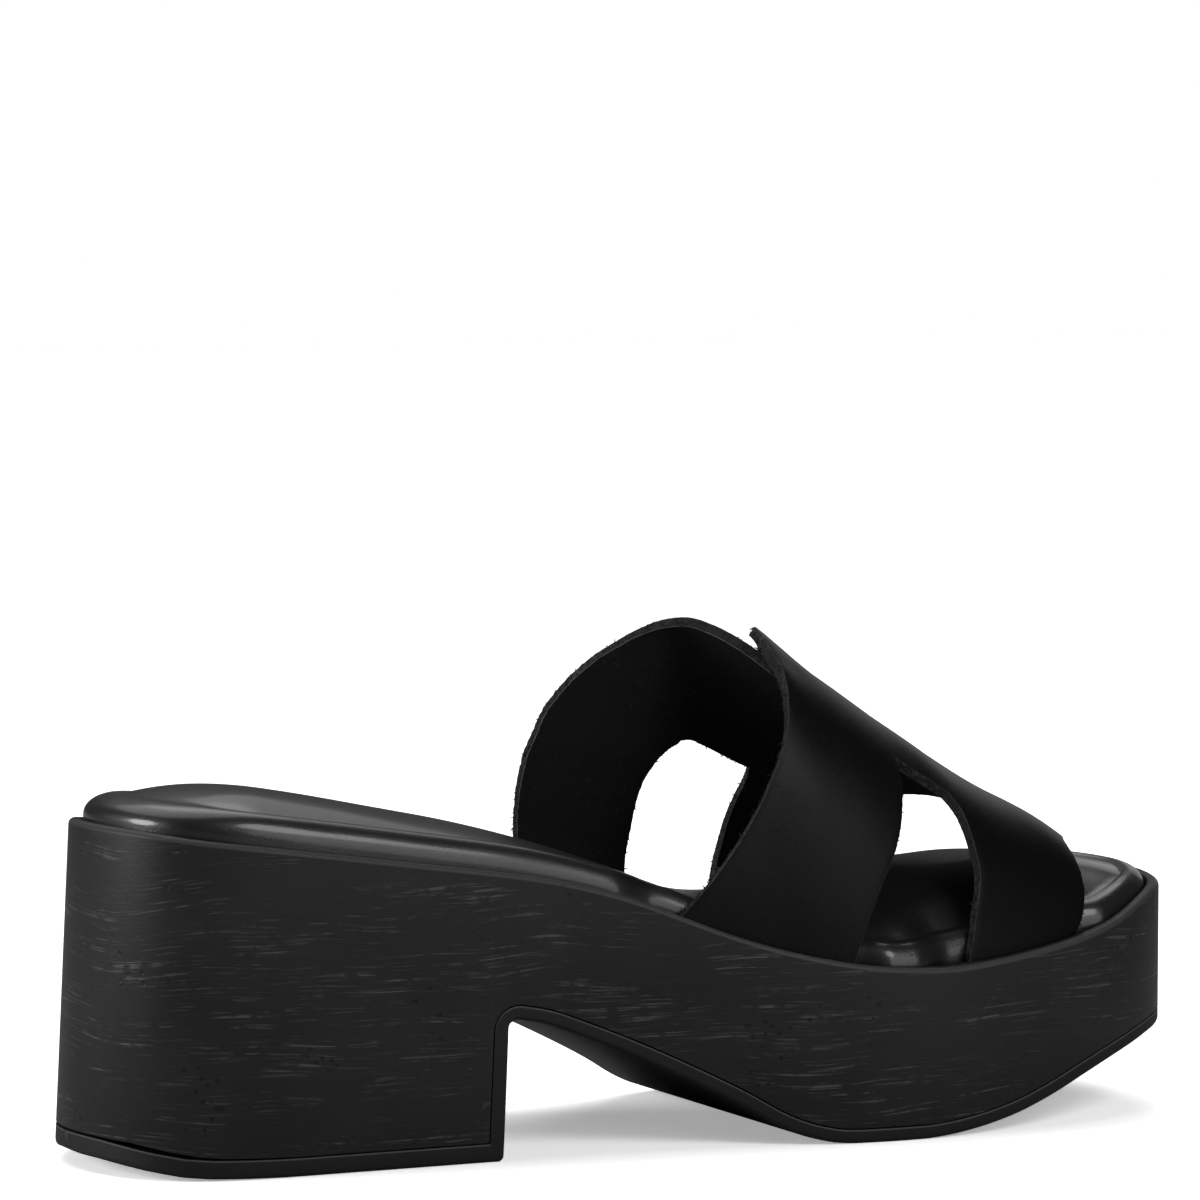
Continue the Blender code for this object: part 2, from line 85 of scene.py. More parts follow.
# Upper
STRAP = 0.0024
UNDER_FREE = 0.92         # girth at which the under strap lies as far out as the outer leather
UNDER_RISE = 0.10         # girth over which it comes out from beneath
GAP = 0.0003              # between pieces that touch
POCKET_MARGIN = 0.0024    # room beside each strap's foot, along the footbed's edge

# Plan of the rim. along, inner, outer: shares of LENGTH, BALL_HALF, BALL_HALF
OUTLINE = (
    (0.002, 0.14, 0.14),
    (0.006, -0.03, 0.33),
    (0.020, -0.27, 0.51),
    (0.040, -0.45, 0.63),
    (0.060, -0.545, 0.70),
    (0.090, -0.615, 0.75),
    (0.140, -0.655, 0.778),
    (0.200, -0.669, 0.785),
    (0.260, -0.681, 0.78),
    (0.320, -0.692, 0.778),
    (0.400, -0.713, 0.787),
    (0.480, -0.769, 0.829),
    (0.560, -0.866, 0.907),
    (0.620, -0.947, 0.972),
    (0.670, -0.991, 1.009),
    (0.720, -1.000, 1.014),
    (0.780, -0.984, 0.977),
    (0.830, -0.949, 0.912),
    (0.880, -0.889, 0.819),
    (0.920, -0.810, 0.718),
    (0.950, -0.713, 0.602),
    (0.975, -0.579, 0.440),
    (0.990, -0.417, 0.266),
    (1.000, -0.09, -0.09),
)

# Rim in side view. along, height: shares of LENGTH, HEEL_HEIGHT
RIM = (
    (-0.030, 1.000),
    (0.000, 0.999),
    (0.057, 0.973),
    (0.133, 0.937),
    (0.238, 0.884),
    (0.345, 0.826),
    (0.398, 0.783),
    (0.441, 0.733),
    (0.475, 0.685),
    (0.517, 0.627),
    (0.558, 0.581),
    (0.600, 0.546),
    (0.650, 0.520),
    (0.705, 0.510),
    (0.762, 0.527),
    (0.837, 0.565),
    (0.880, 0.600),
    (0.934, 0.666),
    (0.965, 0.692),
    (1.040, 0.715),
)

# Underside from the arch to the toe. way, height: shares of the way from the arch's start to LENGTH,
# and of HEEL_HEIGHT
UNDERSIDE = (
    (0.0000, 0.412),
    (0.0330, 0.397),
    (0.0788, 0.358),
    (0.1526, 0.285),
    (0.2485, 0.176),
    (0.2913, 0.122),
    (0.3312, 0.066),
    (0.3607, 0.034),
    (0.3873, 0.015),
    (0.4139, 0.003),
    (0.4360, 0.000),
    (0.5276, 0.000),
    (0.5645, 0.006),
    (0.6088, 0.021),
    (0.6634, 0.050),
    (0.7195, 0.094),
    (0.7785, 0.149),
    (0.8450, 0.203),
    (0.9114, 0.244),
    (1.0591, 0.290),
)

# Last under the straps. along, crest height, crest side: shares of LENGTH, INSTEP_HEIGHT, BALL_HALF
LAST = (
    (0.420, 1.050, 0.34),
    (0.500, 1.040, 0.30),
    (0.586, 1.012, 0.24),
    (0.635, 0.937, 0.16),
    (0.674, 0.872, 0.10),
    (0.721, 0.792, 0.06),
    (0.768, 0.718, 0.02),
    (0.816, 0.651, 0.00),
    (0.867, 0.589, -0.03),
    (0.897, 0.538, -0.05),
    (0.930, 0.476, -0.07),
    (0.980, 0.380, -0.10),
)

# Outer leather, with a window on its inner side up to WINDOW_TOP. girth, rear, window rear, window
# front, front: share of the way over from the inner foot, then shares of LENGTH
WINDOW_TOP = 0.295
OUTER = (
    (0.000, 0.462, 0.614, 0.723, 0.827),
    (0.040, 0.489, 0.628, 0.732, 0.843),
    (0.080, 0.515, 0.642, 0.739, 0.856),
    (0.160, 0.559, 0.673, 0.752, 0.867),
    (0.240, 0.591, 0.691, 0.753, 0.871),
    (0.280, 0.600, 0.696, 0.745, 0.872),
    (0.295, 0.603, 0.699, 0.699, 0.873),
    (0.360, 0.611, 0.735, 0.735, 0.885),
    (0.430, 0.612, 0.745, 0.745, 0.890),
    (0.500, 0.640, 0.750, 0.750, 0.880),
    (0.600, 0.664, 0.748, 0.748, 0.829),
    (0.645, 0.674, 0.745, 0.745, 0.815),
    (0.700, 0.685, 0.744, 0.744, 0.803),
    (0.773, 0.691, 0.742, 0.742, 0.798),
    (0.840, 0.683, 0.738, 0.738, 0.796),
    (0.920, 0.674, 0.733, 0.733, 0.794),
    (1.000, 0.668, 0.730, 0.730, 0.793),
)

# Under strap, from beneath the outer leather to the outer foot. girth, rear, front
UNDER = (
    (0.400, 0.628, 0.740),
    (0.500, 0.602, 0.730),
    (0.600, 0.566, 0.715),
    (0.650, 0.543, 0.708),
    (0.700, 0.516, 0.704),
    (0.748, 0.493, 0.700),
    (0.757, 0.489, 0.678),
    (0.764, 0.486, 0.630),
    (0.785, 0.478, 0.614),
    (0.820, 0.469, 0.595),
    (0.850, 0.463, 0.584),
    (0.900, 0.460, 0.578),
    (1.000, 0.466, 0.570),
)

# Heel's underside, rolled up at the back. along, height: shares of BREAST, HEEL_HEIGHT
HEEL_ROLL = (
    (-0.097, 0.056),
    (0.000, 0.047),
    (0.075, 0.028),
    (0.152, 0.012),
    (0.214, 0.006),
    (0.318, 0.002),
    (0.405, 0.000),
)

# Footbed along the foot. along, rise of its middle over its edge, height of its edge over the rim:
# shares of LENGTH, CROWN_RISE, ROLL_HEIGHT
FOOTBED = (
    (0.00, 0.50, 1.30),
    (0.06, 0.64, 1.48),
    (0.18, 0.56, 1.42),
    (0.30, 0.38, 1.32),
    (0.42, 0.22, 1.20),
    (0.50, 0.30, 1.14),
    (0.56, 0.50, 1.08),
    (0.62, 0.85, 1.05),
    (0.68, 1.20, 1.15),
    (0.75, 1.45, 1.30),
    (0.81, 1.40, 1.25),
    (0.86, 1.20, 1.10),
    (0.94, 0.65, 0.80),
    (1.00, 0.25, 0.50),
)

FULLNESS = 2.1            # of the last across the foot; 2 is an ellipse, more is squarer

# Fineness of the finished surfaces
PLAN_STEPS = 8            # points of the sole's outline to a row of its table
BED_STEPS = 18            # the same for the footbed, whose roll is puckered
FINE_STEPS = 12           # the same for the last and the outsole
SIDE_POINTS = 110         # points of the arch and forefoot in side view
CORNER_POINTS = 12        # points of a rounded corner in side view
END_REACH = 0.014         # length at heel and toe where the outsole's cross sections lie closer

# Their places there: the squares are shares of END_REACH
END_SHARES = (0.04, 0.09, 0.15, 0.22, 0.30, 0.38, 0.47, 0.56, 0.66, 0.77, 0.88)

STATION = 0.0035          # distance between the outsole's cross sections
ARC_STEPS = 6             # faces round a small edge
SHEET_LONG = 180          # faces along a strap above the window, along an arm, and across
ARM_LONG = 56
SHEET_WIDE = 18
CROWN_STEPS = 22

# Finished edges and soft forms
SEAM_LIP = 0.00025        # rounding of the outsole's upper edge
SEAM_EDGE = 0.00012       # rounding of the block's lower edge
SEAM_ANGLE = 55           # degrees from which the block's edges, and the straps' edges, are rounded
CUT_ANGLE = 50
ROLL_TALL = 1.3           # how much taller than deep the footbed's roll is rounded
VALLEY_DEPTH = 0.0010     # crease between the footbed's roll and its middle
VALLEY_FALL = 0.0018      # how far inside the roll's top the crease lies
VALLEY_RISE = 0.0140      # over how far the middle swells up again
PUSH_REACH = 0.0150       # how far inside a strap's foot the footbed is still pushed aside
FOOT_RAMP = 0.0100        # length over which the roll gives way to a strap's foot
FOOT_LIFT = 0.35          # share of the crown's swell that the pushed roll takes
FOOT_AHEAD = 0.0030       # how much further the roll gives way in front of a foot, as the straps lean
HEEL_SOFT = (1.2, 0.11)   # how much deeper the roll is rounded at the very back, over a share of LENGTH
CROWN_REACH = 0.97        # share of the way to the middle line that the footbed's last ring lies at
CROWN_SPREAD = 1.6        # how much closer its rings lie near the roll
TAB_LIFT = 0.0016         # the outer leather's end, standing off the strap beneath
RAGGED = 0.00006          # unevenness of the cut edges
RAGGED_TURNS = 9          # turns of that unevenness along a strap, and how fast its three waves run
RAGGED_WAVES = (2.3, 7.3, 11.9)
RAGGED_FADE = 0.03        # share of the way over, at a strap's ends, where it fades
WINDOW_FADE = 0.02        # the same towards the top of the window
GIRTH_STEP = 0.0003       # least distance between rows of the under strap, as a share of the way over
CREASE_SPREAD = 1.6       # how far a crease runs out beyond its reach
FIBRE_SIZES = (0.5, 1.3)  # smallest and largest fibre, as shares of the length and radius that are set
SHEET_REST = 0.00005      # between leathers that lie on each other
SMOOTH_ANGLE = math.radians(38)

# Outer leather's end at the crest. girth middle and reach, length along the shoe in shares of LENGTH
TAB = (0.47, 0.110, 0.055)

# Creases of the leathers. along, girth, reach along, reach of girth, height: shares of LENGTH and of
# the way over, then shares of STRAP
OUTER_CREASES = (
    (0.655, 0.360, 0.040, 0.060, -0.20),
    (0.735, 0.350, 0.022, 0.070, 0.14),
    (0.800, 0.330, 0.040, 0.090, -0.14),
    (0.560, 0.110, 0.060, 0.050, -0.10),
    (0.790, 0.100, 0.045, 0.045, -0.10),
    (0.720, 0.760, 0.030, 0.080, -0.12),
)
UNDER_CREASES = (
    (0.640, 0.460, 0.034, 0.060, -0.15),
    (0.560, 0.700, 0.040, 0.060, -0.16),
    (0.520, 0.860, 0.040, 0.050, 0.14),
    (0.620, 0.620, 0.040, 0.060, 0.14),
)

# Fine steps of the under strap's front edge, round the top of the outer window: shares of the way over
WINDOW_BEND = (0.740, 0.790)

# Puckers of the footbed's roll. along, side (-1 inner, 1 outer), reach, height: shares of LENGTH,
# then shares of ROLL_HEIGHT
PUCKERS = (
    (0.420, -1, 0.010, 0.03),
    (0.450, -1, 0.008, -0.04),
    (0.472, -1, 0.007, 0.05),
    (0.640, -1, 0.009, 0.02),
    (0.661, -1, 0.007, -0.03),
    (0.682, -1, 0.009, 0.02),
    (0.850, -1, 0.010, -0.04),
    (0.440, 1, 0.010, -0.05),
    (0.600, 1, 0.010, -0.06),
    (0.635, 1, 0.012, 0.05),
    (0.810, 1, 0.010, -0.05),
)

# Fine wrinkles beside the feet: radians over LENGTH of their own wave, of its drift and of its fading,
# and their height as a share of ROLL_HEIGHT
WRINKLES = 410
WRINKLE_DRIFT = 61
WRINKLE_FADE = 97
WRINKLE_SHARE = 0.005

# Where they lie. along, reach: shares of LENGTH
WRINKLED = (
    (0.655, 0.07),
    (0.450, 0.05),
)

# Camera, worked out from the photograph with the shoe's own frame
CAMERA_PLACE = (-0.39231, -1.05525, 0.20657)
CAMERA_AIM = (0.40801, 0.90981, -0.07597)

# Lamps. name, place, aim, size, power, all in metres and watts
LAMPS = (
    ("front_high", (0.30, -0.74, 0.68), (0.05, 0.0, 0.06), 0.42, 2.3),
    ("heel_soft", (-0.98, 0.20, 0.35), (-0.03, 0.0, 0.04), 0.45, 5.6),
    ("back_high", (0.40, 0.76, 0.98), (0.09, 0.0, 0.05), 0.90, 1.3),
    ("back_low", (1.00, 0.85, 0.36), (0.12, 0.0, 0.08), 0.60, 0.5),
    ("front_fill", (0.55, -1.25, 0.40), (0.09, 0.0, 0.05), 0.80, 2.4),
)
SKY_AIM = (0.05, -0.45, -1.0)
SKY_WIDTH = math.radians(60)
FLOOR_HALF = 6.0
SENSOR = 36.0             # camera's sensor width, in millimetres


def hermite(t, start, end, leave, arrive):
    """Cubic between two values with given slopes."""
    return ((2 * t**3 - 3 * t**2 + 1) * start + (t**3 - 2 * t**2 + t) * leave
            + (-2 * t**3 + 3 * t**2) * end + (t**3 - t**2) * arrive)


def through(table, at, column=1):
    """Smooth value from a table, without overshoot between its rows."""
    rows = np.array(table, float)
    x = rows[:, 0]
    y = rows[:, column]
    step = np.diff(x)
    slope = np.diff(y) / step
    tangent = np.concatenate([slope[:1], np.zeros(len(x) - 2), slope[-1:]])
    for i in range(1, len(x) - 1):
        if slope[i - 1] * slope[i] > 0:
            near = 2 * step[i] + step[i - 1]
            far = step[i] + 2 * step[i - 1]
            tangent[i] = (near + far) / (near / slope[i - 1] + far / slope[i])
    at = np.clip(np.asarray(at, float), x[0], x[-1])
    i = np.clip(np.searchsorted(x, at) - 1, 0, len(x) - 2)
    return hermite((at - x[i]) / step[i], y[i], y[i + 1], step[i] * tangent[i], step[i] * tangent[i + 1])


def closed_curve(corners, steps):
    """Smooth closed curve through points, with steps points to a span."""
    corners = np.array(corners, float)
    following = np.roll(corners, -1, axis=0)
    span = np.sqrt(np.linalg.norm(following - corners, axis=1))[:, None]
    chord = (following - corners) / span
    before = np.roll(span, 1, axis=0)
    tangent = (np.roll(chord, 1, axis=0) * span + chord * before) / (before + span)
    arriving = np.roll(tangent, -1, axis=0)
    parts = [hermite(k / steps, corners, following, span * tangent, span * arriving) for k in range(steps)]
    return np.stack(parts, axis=1).reshape(-1, 2)


def outline(steps):
    """Plan of the rim, from the heel's back along the inner side to the toe and back."""
    inner = [(along * LENGTH, side * BALL_HALF) for along, side, _ in OUTLINE]
    outer = [(along * LENGTH, side * BALL_HALF) for along, _, side in OUTLINE[-2:0:-1]]
    return closed_curve(inner + outer, steps)


def inset(ring, depth):
    """Ring moved inwards by a depth."""
    along = np.roll(ring, -1, axis=0) - np.roll(ring, 1, axis=0)
    along = along / np.linalg.norm(along, axis=1)[:, None]
    return ring + depth * np.column_stack([-along[:, 1], along[:, 0]])


def along_share(plan):
    """How far forward points of the plan lie, in the skewed frame, as shares of LENGTH."""
    return (plan[:, 0] + SKEW * plan[:, 1]) / LENGTH


def rim_height(plan):
    """Height of the rim over points of the plan."""
    return HEEL_HEIGHT * through(RIM, along_share(plan))


def lead(side, skew):
    """How far forward a line square to the profile has come, at a distance to the outer side."""
    return SKEW * PIVOT - skew * (side + PIVOT)


def flared(points):
    """Points of the sole, with the heel's foot let out behind its rim."""
    points = np.array(points, float)
    along = points[:, 0] - lead(points[:, 1], UNDER_SKEW)
    behind = np.clip(1 - along / (BREAST - LAYER - GAP), 0, None)
    points[:, 0] -= HEEL_FLARE * (1 - points[:, 2] / HEEL_HEIGHT) * behind
    return points


def placed(points):
    """Points moved from the back of the rim to the part's own origin."""
    return np.asarray(points, float) - (HEEL_REST, 0, 0)


def quarter(steps=ARC_STEPS):
    """Way round a quarter of a circle, in shares of its radius: across from 0 to 1, down from 1 to 0."""
    for step in range(steps + 1):
        turn = math.pi / 2 * step / steps
        yield 1 - math.cos(turn), 1 - math.sin(turn)


def belts(rings):
    """Faces between rings laid on each other."""
    count = len(rings[0])
    faces = []
    for low in range(0, (len(rings) - 1) * count, count):
        for i in range(count):
            j = (i + 1) % count
            faces.append((low + i, low + j, low + count + j, low + count + i))
    return faces


def drum(rings):
    """Vertices and faces of rings laid on each other, with one flat face at each end."""
    count = len(rings[0])
    last = (len(rings) - 1) * count
    ends = [tuple(range(count)), tuple(range(last, last + count))]
    return np.vstack(rings), ends + belts(rings)


def stack(rings):
    """The same, closed at both ends by strips across the shoe."""
    count = len(rings[0])
    half = count // 2
    faces = belts(rings)
    for base in (0, (len(rings) - 1) * count):
        faces.append((base, base + 1, base + count - 1))
        faces.append((base + half - 1, base + half, base + half + 1))
        for i in range(1, half - 1):
            faces.append((base + i, base + i + 1, base + count - i - 1, base + count - i))
    return np.vstack(rings), faces


def side_line(heel_layer, layer):
    """Line in side view from heel to toe, lying a layer inside the underside."""
    start = BREAST + BREAST_LEAN + ARCH_FILLET
    way = np.linspace(UNDERSIDE[0][0], UNDERSIDE[-1][0], SIDE_POINTS)
    along = start + way * (LENGTH - start)
    low = HEEL_HEIGHT * through(UNDERSIDE, way)
    slope = np.gradient(low, along)
    steep = np.sqrt(1 + slope**2)
    arch = np.column_stack([along - layer * slope / steep, low + layer / steep])
    heel = np.array(HEEL_ROLL) * (BREAST, HEEL_HEIGHT)
    heel[:, 1] += heel_layer
    turn = np.linspace(math.pi, math.pi / 2, CORNER_POINTS)
    reach = ARCH_FILLET + layer
    corner = np.column_stack([np.cos(turn), np.sin(turn)]) * reach
    corner += (start, low[0] - ARCH_FILLET)
    if layer:
        foot = [(BREAST - layer, heel_layer)]
    else:
        turn = np.linspace(-math.pi / 2, 0, CORNER_POINTS)
        foot = np.column_stack([np.cos(turn), np.sin(turn)]) * SOLE_EDGE
        foot += (BREAST - SOLE_EDGE, SOLE_EDGE)
    return np.vstack([heel, foot, corner[:-1], arch])


def skewed_sides(ring, skew=SKEW):
    """Inner and outer edge of a plan, as along and side in the skewed frame, each from heel to toe."""
    plan = np.column_stack([ring[:, 0] - lead(ring[:, 1], skew), ring[:, 1]])
    plan = np.roll(plan, -int(plan[:, 0].argmin()), axis=0)
    toe = int(plan[:, 0].argmax())
    return plan[:toe + 1], np.vstack([plan[:1], plan[:toe - 1:-1]])


def last_surface(along, girth):
    """Middle of the leather: along in the skewed frame, girth from 0, inner foot, to 1, outer foot."""
    plan = inset(outline(FINE_STEPS), RIM_WIDTH + GAP + STRAP / 2)
    inner, outer = skewed_sides(plan)
    share = along / LENGTH
    crest = INSTEP_HEIGHT * through(LAST, share, 1)
    middle = BALL_HALF * through(LAST, share, 2)
    foot = HEEL_HEIGHT * through(RIM, share) - WELL_DEPTH + GAP
    turn = math.pi * np.clip(girth, 0, 1)
    near = np.interp(along, inner[:, 0], inner[:, 1]) - middle
    far = np.interp(along, outer[:, 0], outer[:, 1]) - middle
    power = 2 / FULLNESS
    side = middle + np.where(girth < 0.5, near, far) * np.abs(np.cos(turn)) ** power
    high = foot + (crest - foot) * np.abs(np.sin(turn)) ** power
    return np.stack([along - SKEW * side, side, high], axis=-1)


def last_normal(along, girth):
    """Outward direction of the leather."""
    turn = GAP / BALL_HALF
    forward = last_surface(along + GAP, girth) - last_surface(along - GAP, girth)
    before, behind = (last_surface(along, np.clip(girth + step, 0, 1)) for step in (turn, -turn))
    normal = np.cross(forward, before - behind)
    return normal / np.linalg.norm(normal, axis=-1, keepdims=True)


def length(name, description, default, least=0.0):
    """Property for a length."""
    return FloatProperty(name=name, description=description, default=default, min=least,
                         subtype="DISTANCE", unit="LENGTH")


def colour(name, description, default):
    """Property for a colour."""
    return FloatVectorProperty(name=name, description=description, default=default,
                               subtype="COLOR", min=0.0, max=1.0)


def strength(name, description, default, most=10.0):
    """Property for a strength or a share."""
    return FloatProperty(name=name, description=description, default=default, min=0.0, max=most)


class ClogForm(bpy.types.PropertyGroup):
    """Sizes that a maker would change without touching the last."""

    strap: length("Strap wall", "Thickness of the strap leather", STRAP, 0.0008)
    strap_edge: length("Cut edge", "Rounding of the straps' cut edges", 0.00035)
    roll: length("Roll", "Rounding of the footbed's rolled edge", 0.0042, 0.0005)
    fibre_length: length("Fibre length", "Length of the fibres on raw edges", 0.0012)
    fibre_radius: length("Fibre radius", "Radius of a fibre at its root", 0.00018)
    fibre_spacing: length("Fibre spacing", "Distance between fibres along an edge", 0.00030, 0.00005)
    seed: IntProperty(name="Seed", description="Seed of the fibres' spread", default=7)


class ClogFinish(bpy.types.PropertyGroup):
    """Colours of the surfaces."""

    block: colour("Block", "Colour of the moulded block", (0.0185, 0.0191, 0.0197))
    # Also the colour of the painted highlights on the block's rim and the outsole's lip
    streak: colour("Streaks", "Colour of the block's pale grain", (0.095, 0.096, 0.097))
    rubber: colour("Rubber", "Colour of the outsole", (0.011, 0.011, 0.012))
    footbed: colour("Footbed", "Colour of the footbed's leather", (0.008, 0.008, 0.008))
    leather: colour("Leather", "Colour of the straps' outer face", (0.0034, 0.0036, 0.0040))
    flesh: colour("Flesh side", "Colour of the straps' inner face", (0.0140, 0.0144, 0.0150))
    # The corners are paler than the cut edge itself: a painted highlight along the straps' rounded edges
    corner: colour("Corner", "Colour of the rubbed corners of the cut edges", (0.085, 0.086, 0.088))
    edge: colour("Cut edge", "Colour of the raw cut edges", (0.036, 0.037, 0.038))


class ClogStudio(bpy.types.PropertyGroup):
    """Camera, floor and light."""

    lens: FloatProperty(name="Lens", description="Focal length on a 36 mm sensor",
                        default=156.6, unit="CAMERA")
    light: strength("Light", "Strength of all lamps", 1.0)
    surround: strength("Surround", "Strength of the light from all around", 0.05)
    sky: strength("Overhead light", "Strength of the wide light from above", 1.0)
    glow: strength("Floor glow", "Light that keeps the floor's shadow pale", 0.38)
    gain: strength("Floor gain", "How much brighter the floor is shown than it is lit", 2.1)
    bounce: strength("Floor bounce", "Share of its light that the floor gives the shoe", 0.55, 1.0)
    floor: colour("Floor", "Colour of the floor", (0.93, 0.93, 0.93))


def linked(name, data):
    """Object in the scene that shows some data."""
    item = bpy.data.objects.new(name, data)
    bpy.context.scene.collection.objects.link(item)
    return item


def finished(item, name, replaces):
    """Turn an object with its modifiers into a plain smooth mesh that stands for a CAD node."""
    bpy.context.view_layer.update()
    graph = bpy.context.evaluated_depsgraph_get()
    mesh = bpy.data.meshes.new_from_object(item.evaluated_get(graph), depsgraph=graph)
    bpy.data.objects.remove(item, do_unlink=True)
    mesh.name = name
    mesh.shade_smooth()
    mesh.set_sharp_from_angle(angle=SMOOTH_ANGLE)
    piece = linked(name, mesh)
    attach(piece, BODY)
    if replaces:
        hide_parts(*replaces)
    return piece


def mesh_object(name, vertices, faces, materials=(), wear_and_highlight=None):
    """Object from vertices and faces, all faces outward, with a mark on each vertex where a highlight is
    painted into the colour.
    """
    mesh = bpy.data.meshes.new(name)
    mesh.from_pydata([tuple(v) for v in vertices], [], faces)
    if wear_and_highlight is not None:
        mesh.attributes.new("wear_and_highlight", "FLOAT", "POINT").data.foreach_set("value", np.asarray(wear_and_highlight, float))
    shape = bmesh.new()
    shape.from_mesh(mesh)
    bmesh.ops.recalc_face_normals(shape, faces=shape.faces)
    shape.to_mesh(mesh)
    shape.free()
    for each in materials:
        mesh.materials.append(each)
    return linked(name, mesh)


def hill(value):
    """Smooth hill: 1 at 0, 0 from 1 outwards."""
    value = np.clip(np.abs(value), 0, 1)
    return (1 - value**2) ** 2


def ramp(value):
    """Smooth step from 0 to 1."""
    value = np.clip(value, 0, 1)
    return value * value * (3 - 2 * value)


# Materials


class Tree:
    """Short way to lay out a node tree."""

    def __init__(self, tree):
        self.tree = tree
        self.nodes = tree.nodes
        self.column = 0

    def add(self, kind, **settings):
        """Node with settings on itself."""
        node = self.nodes.new(kind)
        node.location = (self.column, 0)
        self.column += 180
        for key, value in settings.items():
            setattr(node, key, value)
        return node

    def feed(self, node, **inputs):
        """Fill a node's inputs from values or outputs; names use _ for a space."""
        for key, value in inputs.items():
            self.plug(node.inputs[key.replace("_", " ")], value)
        return node

    def first(self, kind, **inputs):
        """First output of a node that needs inputs only."""
        return self.feed(self.add(kind), **inputs).outputs[0]

    def plug(self, socket, value):
        """Link an output, or set a plain value."""
        if isinstance(value, bpy.types.NodeSocket):
            self.tree.links.new(value, socket)
        else:
            socket.default_value = value

    def math(self, operation, first, second):
        """One step of arithmetic."""
        node = self.add("ShaderNodeMath", operation=operation)
        self.plug(node.inputs[0], first)
        self.plug(node.inputs[1], second)
        return node.outputs[0]

    def times(self, first, second):
        """Product."""
        return self.math("MULTIPLY", first, second)

    def plus(self, first, second):
        """Sum."""
        return self.math("ADD", first, second)

    def minus(self, first, second):
        """Difference."""
        return self.math("SUBTRACT", first, second)

    def most(self, first, second):
        """The larger of two."""
        return self.math("MAXIMUM", first, second)

    def scuff_and_highlight(self, share):
        """Painted highlight where the mesh marks it, up to a share."""
        return self.times(self.add("ShaderNodeAttribute", attribute_name="wear_and_highlight").outputs["Fac"], share)

    def tones(self, share, colour, dark, pale):
        """Colour between a darker and a paler tone of one colour."""
        return self.mix(share, rgba(colour, dark), rgba(colour, pale))

    def noise(self, vector, scale, detail=2.0, roughness=0.5):
        """Noise value between 0 and 1."""
        node = self.add("ShaderNodeTexNoise")
        self.feed(node, Vector=vector, Scale=scale, Detail=detail, Roughness=roughness)
        return node.outputs["Fac"]

    def stretched(self, vector, scale):
        """Coordinates stretched by three factors."""
        node = self.add("ShaderNodeVectorMath", operation="MULTIPLY")
        self.plug(node.inputs[0], vector)
        self.plug(node.inputs[1], scale)
        return node.outputs[0]

    def between(self, value, low, high):
        """Smooth step of a value between two limits."""
        node = self.add("ShaderNodeMapRange", interpolation_type="SMOOTHSTEP")
        self.feed(node, Value=value, From_Min=low, From_Max=high)
        return node.outputs[0]

    def mix(self, share, first, second):
        """Colour between two colours."""
        node = self.add("ShaderNodeMix", data_type="RGBA")
        self.plug(node.inputs[0], share)
        self.plug(node.inputs[6], first)
        self.plug(node.inputs[7], second)
        return node.outputs[2]

    def bump(self, height, distance, normal=None):
        """Normal from a height."""
        node = self.add("ShaderNodeBump")
        self.feed(node, Height=height, Distance=distance)
        if normal is not None:
            self.plug(node.inputs["Normal"], normal)
        return node.outputs["Normal"]


def new_group(name, outputs, **inputs):
    """Shader node group that takes a Vector and named numbers, and gives named numbers."""
    tree = bpy.data.node_groups.new(name, "ShaderNodeTree")
    tree.interface.new_socket(name="Vector", in_out="INPUT", socket_type="NodeSocketVector")
    for label, default in inputs.items():
        tree.interface.new_socket(name=label, in_out="INPUT", socket_type=FLOAT).default_value = default
    for label in outputs:
        tree.interface.new_socket(name=label, in_out="OUTPUT", socket_type=FLOAT)
    t = Tree(tree)
    return t, t.add("NodeGroupInput").outputs, t.add("NodeGroupOutput")


FLOAT = "NodeSocketFloat"


@cache
def grain_group():
    """Broken pale streaks along the shoe, in clusters, with dark pores."""
    t, given, result = new_group("Streaked grain", ("Streaks", "Pores", "Height"),
                                 Length=0.010, Width=0.00032, Amount=0.5)
    place = given["Vector"]
    wave = t.times(t.minus(t.noise(place, 22.0, 1.0), 0.5), 0.009)
    split = t.feed(t.add("ShaderNodeSeparateXYZ"), Vector=place)
    height = t.plus(split.outputs["Z"], wave)
    lengthwise = t.math("DIVIDE", split.outputs["X"], given["Length"])
    across = t.math("DIVIDE", split.outputs["Y"], given["Length"])
    upward = t.math("DIVIDE", height, given["Width"])
    flat = t.feed(t.add("ShaderNodeCombineXYZ"), X=lengthwise, Y=across, Z=t.times(upward, 0.5))
    line = t.between(t.noise(flat.outputs[0], 1.0, 1.5, 0.6), 0.57, 0.70)
    cluster = t.noise(t.stretched(place, (0.55, 0.55, 2.4)), 55.0, 2.0)
    limit = t.minus(0.78, t.times(given["Amount"], 0.40))
    cluster = t.between(cluster, limit, t.plus(limit, 0.10))
    broken = t.between(t.noise(t.stretched(place, (1.0, 1.0, 1.6)), 300.0, 2.0), 0.34, 0.58)
    streak = t.times(t.times(line, cluster), broken)
    spots = t.feed(t.add("ShaderNodeTexVoronoi"), Vector=place, Scale=420.0)
    spot = t.minus(1.0, t.between(spots.outputs["Distance"], 0.16, 0.30))
    some = t.between(t.noise(place, 60.0, 1.0), 0.60, 0.70)
    pore = t.times(spot, some)
    t.feed(result, Streaks=streak, Pores=pore,
           Height=t.minus(t.times(streak, 0.5), pore))
    return t.tree


